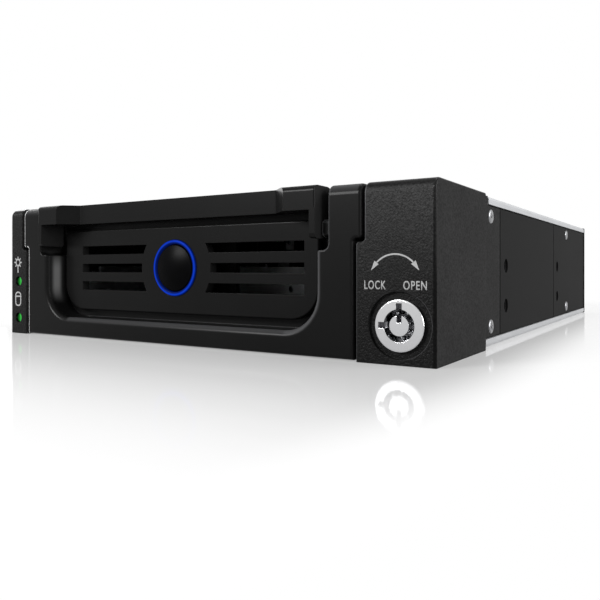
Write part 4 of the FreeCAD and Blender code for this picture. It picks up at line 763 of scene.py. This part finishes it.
def crossScrew(look):
    # screw standing on its seat at the origin, head up: pan or flat head, tapered cross, plain shank below
    bpy.ops.object.select_all(action="DESELECT")
    radius, head, shank = look["headRadius"] * mm, look["head"] * mm, look["shankRadius"] * mm
    bpy.ops.mesh.primitive_cylinder_add(vertices=crossLook["sides"], radius=radius, depth=head,
                                        location=(0, 0, head / 2))
    screw = bpy.context.object
    bpy.ops.object.mode_set(mode="EDIT")
    if look.get("flat"):
        pickFaces(screw, lambda face: face.normal.z < -0.9)
        bpy.ops.transform.resize(value=(shank / radius, shank / radius, 1), center_override=(0, 0, 0))
    else:
        pickFaces(screw, lambda face: face.normal.z > 0.9)
        bpy.ops.mesh.bevel(offset=head * crossLook["rounding"], segments=5, affect="EDGES")
        pickFaces(screw, lambda face: face.normal.z < -0.9)
        bpy.ops.mesh.inset(thickness=radius - shank)
    bpy.ops.mesh.extrude_region_move(TRANSFORM_OT_translate={"value": (0, 0, -look["shank"] * mm)})
    bpy.ops.object.mode_set(mode="OBJECT")
    for turn in (0, 90):
        bpy.ops.object.select_all(action="DESELECT")
        bpy.ops.mesh.primitive_cube_add(size=1, location=(0, 0, head))
        cutter = bpy.context.object
        cutter.scale = (look["cross"] * 2 * mm, look["wing"] * mm, look["sink"] * 2 * mm)
        cutter.rotation_euler = (0, 0, math.radians(turn + look["turn"]))
        bpy.ops.object.transform_apply(location=True, rotation=True, scale=True)
        bpy.ops.object.mode_set(mode="EDIT")
        pickFaces(cutter, lambda face: face.normal.z < -0.9)
        bpy.ops.transform.resize(value=(crossLook["taper"], crossLook["taper"], 1),
                                 center_override=(0, 0, 0))
        bpy.ops.object.mode_set(mode="OBJECT")
        workOn(screw)
        cut = screw.modifiers.new("cross", "BOOLEAN")
        cut.operation = "DIFFERENCE"
        cut.solver = "EXACT"
        cut.object = cutter
        bpy.ops.object.modifier_apply(modifier=cut.name)
        bpy.data.objects.remove(cutter)
    bpy.ops.object.shade_smooth_by_angle(angle=math.radians(40))
    return screw


def screwSet(node, body, look, seats, turn, finish):
    # one screw modelled, the rest copied; together they stand for the plain ones
    model = crossScrew(look)
    for number, seat in enumerate(seats):
        screw = copyOf(model, seat)
        screw.rotation_euler = turn
        settle(screw, f"{look['name']}{number + 1}", body, finish, (node,))
    bpy.data.objects.remove(model)


def corners(node, look, spread):
    # seats of a set of screws that fills its box, along the two directions named
    low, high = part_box(node)
    reach = look["headRadius"] * mm
    ends = [(a + reach, b - reach) for a, b in zip(low, high)]
    return [(u, v) for u in ends[spread[0]] for v in ends[spread[1]]]


sideScrewLook = {"headRadius": 2.0, "head": 0.7, "shankRadius": 1.25, "shank": 3.6,
                 "cross": 1.3, "wing": 0.55, "sink": 0.55, "turn": 20}
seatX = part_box("side_screws")[1].x - sideScrewLook["head"] * mm
for side, letter in ((1, "R"), (-1, "L")):
    screwSet("side_screws", "cage", {**sideScrewLook, "name": f"sideScrew{letter}"},
             [(side * seatX, y, z) for y, z in corners("side_screws", sideScrewLook, (1, 2))],
             (0, math.radians(90 * side), 0), screwSteel)

fanScrewLook = {"name": "fanScrew", "headRadius": 2.3, "head": 0.9, "shankRadius": 1.25, "shank": 8.0,
                "cross": 1.4, "wing": 0.55, "sink": 0.6, "turn": 35}
trayScrewLook = {"name": "trayScrew", "headRadius": 1.7, "head": 0.8, "shankRadius": 0.8, "shank": 2.6,
                 "cross": 1.05, "wing": 0.45, "sink": 0.5, "turn": 10}
boardScrewLook = {**trayScrewLook, "name": "boardScrew", "shank": 5.0, "turn": 25}
headsBack = (math.radians(-90), 0, 0)
for node, body, look, finish in (("fan_screws", "cage", fanScrewLook, nickelSteel),
                                 ("tray_screws", "tray", trayScrewLook, nickelSteel),
                                 ("switch_board_screws", "tray", boardScrewLook, blackSteel)):
    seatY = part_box(node)[1].y - look["head"] * mm
    screwSet(node, body, look, [(x, seatY, z) for x, z in corners(node, look, (0, 2))], headsBack, finish)

camScrewLook = {"name": "camScrew", "headRadius": 3.2, "head": 0.8, "shankRadius": 0.8, "shank": 4.0,
                "cross": 1.3, "wing": 0.55, "sink": 0.5, "turn": 45}
low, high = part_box("cam_screw")
camSeat = ((low.x + high.x) / 2, high.y - camScrewLook["head"] * mm, (low.z + high.z) / 2)
screwSet("cam_screw", "lock_plug", camScrewLook, [camSeat], headsBack, nickelSteel)

railScrewLook = {"name": "railScrew", "headRadius": 2.35, "head": 0.75, "shankRadius": 1.25, "shank": 4.2,
                 "cross": 1.35, "wing": 0.55, "sink": 0.5, "turn": 15, "flat": True}
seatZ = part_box("rail_screws")[0].z + railScrewLook["head"] * mm
screwSet("rail_screws", "cage", railScrewLook,
         [(x, y, seatZ) for x, y in corners("rail_screws", railScrewLook, (0, 1))],
         (math.radians(180), 0, 0), nickelSteel)
print("screws ready")

# seven pins of the key lock, set deep in the ring groove round the post
pinLook = {"count": 7, "circle": 2.95, "radius": 0.5, "length": 2.2, "below": 2.0, "rounding": 0.28}
low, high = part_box("lock_core")
lockMiddle = (low + high) / 2
pin = newRod(pinLook["radius"] * mm, pinLook["length"] * mm, (0, 0, 0), 20)
pickFaces(pin, lambda face: face.normal.y < -0.9)
bpy.ops.mesh.bevel(offset=pinLook["rounding"] * mm, segments=4, affect="EDGES")
smoothOver(50)
for number in range(pinLook["count"]):
    turn = math.radians(90 + 360 / pinLook["count"] * (number + 0.5))
    lockPin = copyOf(pin, (lockMiddle.x + pinLook["circle"] * mm * math.cos(turn),
                           low.y + (pinLook["below"] + pinLook["length"] / 2) * mm,
                           lockMiddle.z + pinLook["circle"] * mm * math.sin(turn)))
    settle(lockPin, f"lockPin{number + 1}", "lock_plug", screwSteel)
bpy.data.objects.remove(pin)
print("lock pins ready")

# push button: shallow polished cap with a rounded rim, and the stem behind it
capLook = {"dome": 0.95, "rim": 0.55, "rings": 9, "stemRadius": 1.6, "skirt": 3.4}
low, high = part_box("power_button")
capRadius = (high.x - low.x) / 2
capMiddle = (low + high) / 2
skirt = capLook["skirt"] * mm
dome = capLook["dome"] * mm
cap = newRod(capRadius, skirt - dome, (capMiddle.x, low.y + (skirt + dome) / 2, capMiddle.z), 96)
pickFaces(cap, lambda face: face.normal.y < -0.9)
bpy.ops.mesh.bevel(offset=capLook["rim"] * mm, segments=5, affect="EDGES")
pickFaces(cap, lambda face: face.normal.y < -0.999)
flatRadius = capRadius - capLook["rim"] * mm
step = flatRadius / (capLook["rings"] + 0.5)  # leaves half a ring's width flat at the top
for ring in range(capLook["rings"]):
    outer, inner = flatRadius - ring * step, flatRadius - (ring + 1) * step
    rise = dome * (outer ** 2 - inner ** 2) / flatRadius ** 2
    bpy.ops.mesh.inset(thickness=step)
    bpy.ops.transform.translate(value=(0, -rise, 0))
pickFaces(cap, lambda face: face.normal.y > 0.9)
bpy.ops.mesh.inset(thickness=capRadius - capLook["stemRadius"] * mm)
bpy.ops.mesh.extrude_region_move(TRANSFORM_OT_translate={"value": (0, high.y - low.y - skirt, 0)})
smoothOver(50)
settle(cap, "buttonCap", "button", glossBlack, ("power_button",))
print("button ready")

# spring contacts of the drive receptacle: fifteen for power, seven for data, bent up halfway along
contactLook = {"pitch": 1.27, "width": 0.8, "length": 4.4, "thick": 0.3, "edge": 0.08, "lift": 0.55,
               "power": 15, "powerEnd": 1.8,  # the last one's place right of the receptacle's middle
               "data": 7, "dataStart": 6.2,  # the first one's place right of it
               "up": 2.0, "back": 0.7}
low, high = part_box("drive_receptacle")
rowMiddle = (low.x + high.x) / 2 / mm
powerStart = contactLook["powerEnd"] - (contactLook["power"] - 1) * contactLook["pitch"]
rows = [powerStart + i * contactLook["pitch"] for i in range(contactLook["power"])]
rows += [contactLook["dataStart"] + i * contactLook["pitch"] for i in range(contactLook["data"])]
halfContact = contactLook["width"] / 2
contact = newBlock((-halfContact, 0, 0), (halfContact, contactLook["length"], contactLook["thick"]),
                   contactLook["edge"])
bpy.ops.object.mode_set(mode="EDIT")
bpy.ops.mesh.select_all(action="SELECT")
bpy.ops.mesh.bisect(plane_co=(0, contactLook["length"] / 2 * mm, 0), plane_no=(0, 1, 0))
bpy.ops.transform.translate(value=(0, 0, contactLook["lift"] * mm))
bpy.ops.object.mode_set(mode="OBJECT")
contacts = copiesJoined(contact, [((rowMiddle + x) * mm, low.y + contactLook["back"] * mm,
                                   low.z + contactLook["up"] * mm) for x in rows])
settle(contacts, "driveContacts", "cage", goldContact)

# the data socket's own seven contacts lie along the top of its tongue
tongueLook = {"count": 7, "pitch": 1.27, "width": 0.7, "up": 3.0, "sunk": 0.1, "proud": 0.12, "edge": 0.05,
              "front": 3.4, "back": 1.4}  # how far they stay inside the socket's front and back
low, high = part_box("data_socket")
tongueTop = low.z / mm + tongueLook["up"]
tongueMiddle = (low.x + high.x) / 2 / mm
strip = newBlock(
    (-tongueLook["width"] / 2, low.y / mm + tongueLook["front"], tongueTop - tongueLook["sunk"]),
    (tongueLook["width"] / 2, high.y / mm - tongueLook["back"], tongueTop + tongueLook["proud"]),
    tongueLook["edge"])
strips = copiesJoined(strip, [
    ((tongueMiddle + (number - (tongueLook["count"] - 1) / 2) * tongueLook["pitch"]) * mm, 0, 0)
    for number in range(tongueLook["count"])])
settle(strips, "dataContacts", "cage", goldContact)

# tinned sleeves of the four power pins
sleeveLook = {"count": 4, "pitch": 5.08, "radius": 1.05, "length": 13.2, "nose": 0.6, "inset": 3.95}
low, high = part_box("power_socket")
socketMiddle = (low + high) / 2
sleeve = newRod(sleeveLook["radius"] * mm, sleeveLook["length"] * mm,
                (0, high.y - (sleeveLook["inset"] + sleeveLook["length"] / 2) * mm, socketMiddle.z), 24)
pickFaces(sleeve, lambda face: face.normal.y > 0.9)
bpy.ops.mesh.bevel(offset=sleeveLook["nose"] * mm, segments=4, affect="EDGES")
smoothOver(40)
sleeves = copiesJoined(sleeve, [
    (socketMiddle.x + (number - (sleeveLook["count"] - 1) / 2) * sleeveLook["pitch"] * mm, 0, 0)
    for number in range(sleeveLook["count"])])
settle(sleeves, "powerPins", "cage", nickelSteel)
print("contacts ready")

# parts soldered to the backplane's front: two driver chips and three filter capacitors
chipLook = {"length": 8.6, "height": 3.9, "thick": 1.5, "gap": 0.15, "edge": 0.2, "leads": 8, "pitch": 1.0,
            "leadWidth": 0.4, "leadReach": 1.0, "leadThick": 0.37, "leadEdge": 0.06,
            "places": ((8.0, 27.0), (24.0, 27.0))}
solder = 0.02  # what stands on a board reaches this far into it
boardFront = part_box("backplane_board")[0].y / mm
halfLength, halfHeight = chipLook["length"] / 2, chipLook["height"] / 2
halfLead, leadEnd = chipLook["leadWidth"] / 2, halfHeight + chipLook["leadReach"]
chip = newBlock((-halfLength, boardFront - chipLook["thick"] - chipLook["gap"], -halfHeight),
                (halfLength, boardFront - chipLook["gap"], halfHeight), chipLook["edge"])
leadPair = newBlock((-halfLead, boardFront + solder - chipLook["leadThick"], -leadEnd),
                    (halfLead, boardFront + solder, leadEnd), chipLook["leadEdge"])
for number, (x, z) in enumerate(chipLook["places"]):
    driver = copyOf(chip, (x * mm, 0, z * mm))
    settle(driver, f"driverChip{number + 1}", "cage", blackNylon)
    firstLead = x - (chipLook["leads"] - 1) / 2 * chipLook["pitch"]
    leads = [copyOf(leadPair, ((firstLead + lead * chipLook["pitch"]) * mm, 0, z * mm))
             for lead in range(chipLook["leads"])]
    settle(joinAll(leads), f"chipLeads{number + 1}", "cage", nickelSteel)
bpy.data.objects.remove(chip)
bpy.data.objects.remove(leadPair)

capacitorLook = {"radius": 2.5, "height": 5.4, "crimp": 0.35, "grooveFrom": 0.8, "grooveTo": 1.3,
                 "grooveEdge": 0.08, "grooveShare": 0.9,
                 "places": ((46.0, 27.0), (53.0, 27.0), (60.0, 27.0))}
can = newRod(capacitorLook["radius"] * mm, capacitorLook["height"] * mm,
             (0, (boardFront - capacitorLook["height"] / 2) * mm, 0), 48)
grooveNear, grooveFar = [(boardFront - capacitorLook[end]) * mm for end in ("grooveFrom", "grooveTo")]
for cut in (grooveNear, grooveFar):
    bpy.ops.mesh.select_all(action="SELECT")
    bpy.ops.mesh.bisect(plane_co=(0, cut, 0), plane_no=(0, 1, 0))
pickFaces(can, lambda face: grooveFar < face.center.y < grooveNear and abs(face.normal.y) < 0.5)
bpy.ops.mesh.inset(thickness=capacitorLook["grooveEdge"] * mm)
bpy.ops.transform.resize(value=(capacitorLook["grooveShare"], 1, capacitorLook["grooveShare"]),
                         center_override=(0, 0, 0))
pickFaces(can, lambda face: face.normal.y < -0.9)
bpy.ops.mesh.bevel(offset=capacitorLook["crimp"] * mm, segments=3, affect="EDGES")
smoothOver(40)
for number, (x, z) in enumerate(capacitorLook["places"]):
    capacitor = copyOf(can, (x * mm, 0, z * mm))
    settle(capacitor, f"capacitor{number + 1}", "cage", millAluminium)
bpy.data.objects.remove(can)

# the switch board's plug and two resistors, on its back
plugLook = {"left": -14.5, "right": -9.5, "low": 18.5, "high": 24.5, "thick": 4.2, "edge": 0.3, "wall": 0.6,
            "hollow": 3.2}
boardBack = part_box("switch_board")[1].y / mm
plug = newBlock((plugLook["left"], boardBack - solder, plugLook["low"]),
                (plugLook["right"], boardBack + plugLook["thick"], plugLook["high"]), plugLook["edge"])
bpy.ops.object.mode_set(mode="EDIT")
pickFaces(plug, lambda face: face.normal.y > 0.99)
bpy.ops.mesh.inset(thickness=plugLook["wall"] * mm)
bpy.ops.mesh.extrude_region_move(TRANSFORM_OT_translate={"value": (0, -plugLook["hollow"] * mm, 0)})
bpy.ops.object.mode_set(mode="OBJECT")
settle(plug, "boardPlug", "tray", whiteNylon)

resistorLook = {"left": 1.2, "right": 4.4, "tall": 1.6, "thick": 0.6, "edge": 0.12, "heights": (14.0, 28.5)}
bead = newBlock((resistorLook["left"], boardBack - solder, -resistorLook["tall"] / 2),
                (resistorLook["right"], boardBack + resistorLook["thick"], resistorLook["tall"] / 2),
                resistorLook["edge"])
for number, z in enumerate(resistorLook["heights"]):
    resistor = copyOf(bead, (0, 0, z * mm))
    settle(resistor, f"boardResistor{number + 1}", "tray", blackNylon)
bpy.data.objects.remove(bead)
print("board parts ready")

# printed marks stand a hair proud of the front: the key's turn arrow with its two words, and two lamp marks
printLook = {"thickness": 0.03, "wordLow": 16.75, "wordHigh": 18.75, "wordStroke": 0.035, "wordSize": 2.5,
             "wordSpacing": 1.15, "words": (("LOCK", 57.4, 62.75), ("OPEN", 66.9, 72.35))}
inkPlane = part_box("front_housing")[0].y


def inkPiece(piece, name):
    # gives a flat mark in the front plane its ink thickness
    workOn(piece)
    ink = piece.modifiers.new("ink", "SOLIDIFY")
    ink.thickness = printLook["thickness"] * mm
    ink.offset = 0
    bpy.ops.object.modifier_apply(modifier=ink.name)
    bpy.ops.object.mode_set(mode="EDIT")
    bpy.ops.mesh.select_all(action="SELECT")
    bpy.ops.mesh.normals_make_consistent(inside=False)
    bpy.ops.object.mode_set(mode="OBJECT")
    settle(piece, name, "cage", greyInk)


def flatShape(kind, place, wide, tall, turn=0.0, vertices=32):
    # a flat rectangle, disc or triangle standing in the front plane, sizes in millimetres
    bpy.ops.object.select_all(action="DESELECT")
    if kind == "bar":
        bpy.ops.mesh.primitive_plane_add(size=1, rotation=(math.radians(90), 0, 0))
    else:
        bpy.ops.mesh.primitive_circle_add(vertices=vertices, radius=0.5, fill_type="NGON",
                                          rotation=(math.radians(90), 0, 0))
    shape = bpy.context.object
    bpy.ops.object.transform_apply(location=True, rotation=True, scale=True)
    shape.scale = (wide * mm, 1, tall * mm)
    shape.rotation_euler = (0, math.radians(turn), 0)
    shape.location = (place[0] * mm, inkPlane, place[1] * mm)
    bpy.ops.object.transform_apply(location=True, rotation=True, scale=True)
    return shape


def outlineOnly(stroke):
    # turns the flat shape in edit mode into a line along its rim
    bpy.ops.mesh.select_all(action="SELECT")
    bpy.ops.mesh.inset(thickness=stroke * mm)
    bpy.ops.mesh.delete(type="FACE")
    bpy.ops.object.mode_set(mode="OBJECT")


def roundAbout(middle, radius, turn):
    # a place on a circle, in degrees clockwise from its top
    turn = math.radians(turn)
    return middle[0] + radius * math.sin(turn), middle[1] + radius * math.cos(turn)


for word, left, right in printLook["words"]:
    bpy.ops.object.select_all(action="DESELECT")
    bpy.ops.object.text_add(rotation=(math.radians(90), 0, 0))
    mark = bpy.context.object
    mark.data.body = word
    mark.data.size = printLook["wordSize"] * mm
    mark.data.offset = printLook["wordStroke"] * mm
    mark.data.space_character = printLook["wordSpacing"]
    bpy.ops.object.convert(target="MESH")
    mark = bpy.context.object
    bpy.ops.object.transform_apply(location=True, rotation=True, scale=True)
    xs = [v.co.x for v in mark.data.vertices]
    zs = [v.co.z for v in mark.data.vertices]
    mark.scale = ((right - left) * mm / (max(xs) - min(xs)), 1,
                  (printLook["wordHigh"] - printLook["wordLow"]) * mm / (max(zs) - min(zs)))
    mark.location = (left * mm - min(xs) * mark.scale.x, inkPlane,
                     printLook["wordLow"] * mm - min(zs) * mark.scale.z)
    inkPiece(mark, f"mark{word.capitalize()}")

# the arrow: a band bent round the lock from one word to the other, with a head at each end
arrowLook = {"middle": (64.85, 18.55), "radius": 6.1, "stroke": 0.36, "swing": 45, "steps": 26,
             "overlap": 1.02, "weld": 0.09, "headLength": 2.3, "headWidth": 1.3,
             "headBeyond": 8}  # degrees past the band's end
swing, radius = arrowLook["swing"], arrowLook["radius"]
stepLength = 2 * radius * math.tan(math.radians(swing / arrowLook["steps"])) * arrowLook["overlap"]
turns = [-swing + (number + 0.5) * 2 * swing / arrowLook["steps"] for number in range(arrowLook["steps"])]
arrow = joinAll([flatShape("bar", roundAbout(arrowLook["middle"], radius, turn), stepLength,
                           arrowLook["stroke"], turn) for turn in turns])
bpy.ops.object.mode_set(mode="EDIT")
bpy.ops.mesh.select_all(action="SELECT")
bpy.ops.mesh.remove_doubles(threshold=arrowLook["weld"] * mm)
bpy.ops.object.mode_set(mode="OBJECT")
wideShare, tallShare = 0.866, 0.75  # how much of its circle a triangle fills
headTurn = swing + arrowLook["headBeyond"]
heads = [flatShape("triangle", roundAbout(arrowLook["middle"], radius, side * headTurn),
                   arrowLook["headWidth"] / wideShare, arrowLook["headLength"] / tallShare,
                   side * (headTurn + 90), vertices=3) for side in (-1, 1)]
inkPiece(joinAll([arrow, *heads]), "markArrow")

# lamp mark: a small sun on a stem
sunLook = {"middle": (-70.95, 23.5), "ring": 2.5, "stroke": 0.42, "rays": 8, "rayLength": 0.75,
           "rayWidth": 0.42, "rayStart": 0.05, "stemWidth": 0.5, "stemLow": 20.1, "stemHigh": 22.3}
sun = flatShape("disc", sunLook["middle"], sunLook["ring"], sunLook["ring"])
bpy.ops.object.mode_set(mode="EDIT")
outlineOnly(sunLook["stroke"])
rayMiddle = sunLook["ring"] / 2 + sunLook["rayLength"] / 2 - sunLook["rayStart"]
turns = [360 / sunLook["rays"] * number for number in range(sunLook["rays"])]
rays = [flatShape("bar", roundAbout(sunLook["middle"], rayMiddle, turn), sunLook["rayWidth"],
                  sunLook["rayLength"], turn) for turn in turns if turn != 180]  # the stem takes that place
stem = flatShape("bar", (sunLook["middle"][0], (sunLook["stemLow"] + sunLook["stemHigh"]) / 2),
                 sunLook["stemWidth"], sunLook["stemHigh"] - sunLook["stemLow"])
inkPiece(joinAll([sun, *rays, stem]), "markPower")

# lamp mark: the outline of a drum, for the disk
drumLook = {"middle": (-70.85, 11.4), "wide": 3.2, "tall": 4.8, "corner": 1.35, "stroke": 0.46,
            "lineZ": 12.25, "lineShort": 1.6}  # how many strokes the line is shorter than the drum is wide
drum = flatShape("bar", drumLook["middle"], drumLook["wide"], drumLook["tall"])
bpy.ops.object.mode_set(mode="EDIT")
bpy.ops.mesh.select_all(action="SELECT")
bpy.ops.mesh.bevel(offset=drumLook["corner"] * mm, segments=8, affect="VERTICES")
outlineOnly(drumLook["stroke"])
line = flatShape("bar", (drumLook["middle"][0], drumLook["lineZ"]),
                 drumLook["wide"] - drumLook["lineShort"] * drumLook["stroke"], drumLook["stroke"])
inkPiece(joinAll([drum, line]), "markDisk")
print("printed marks ready")

bpy.context.view_layer.update()
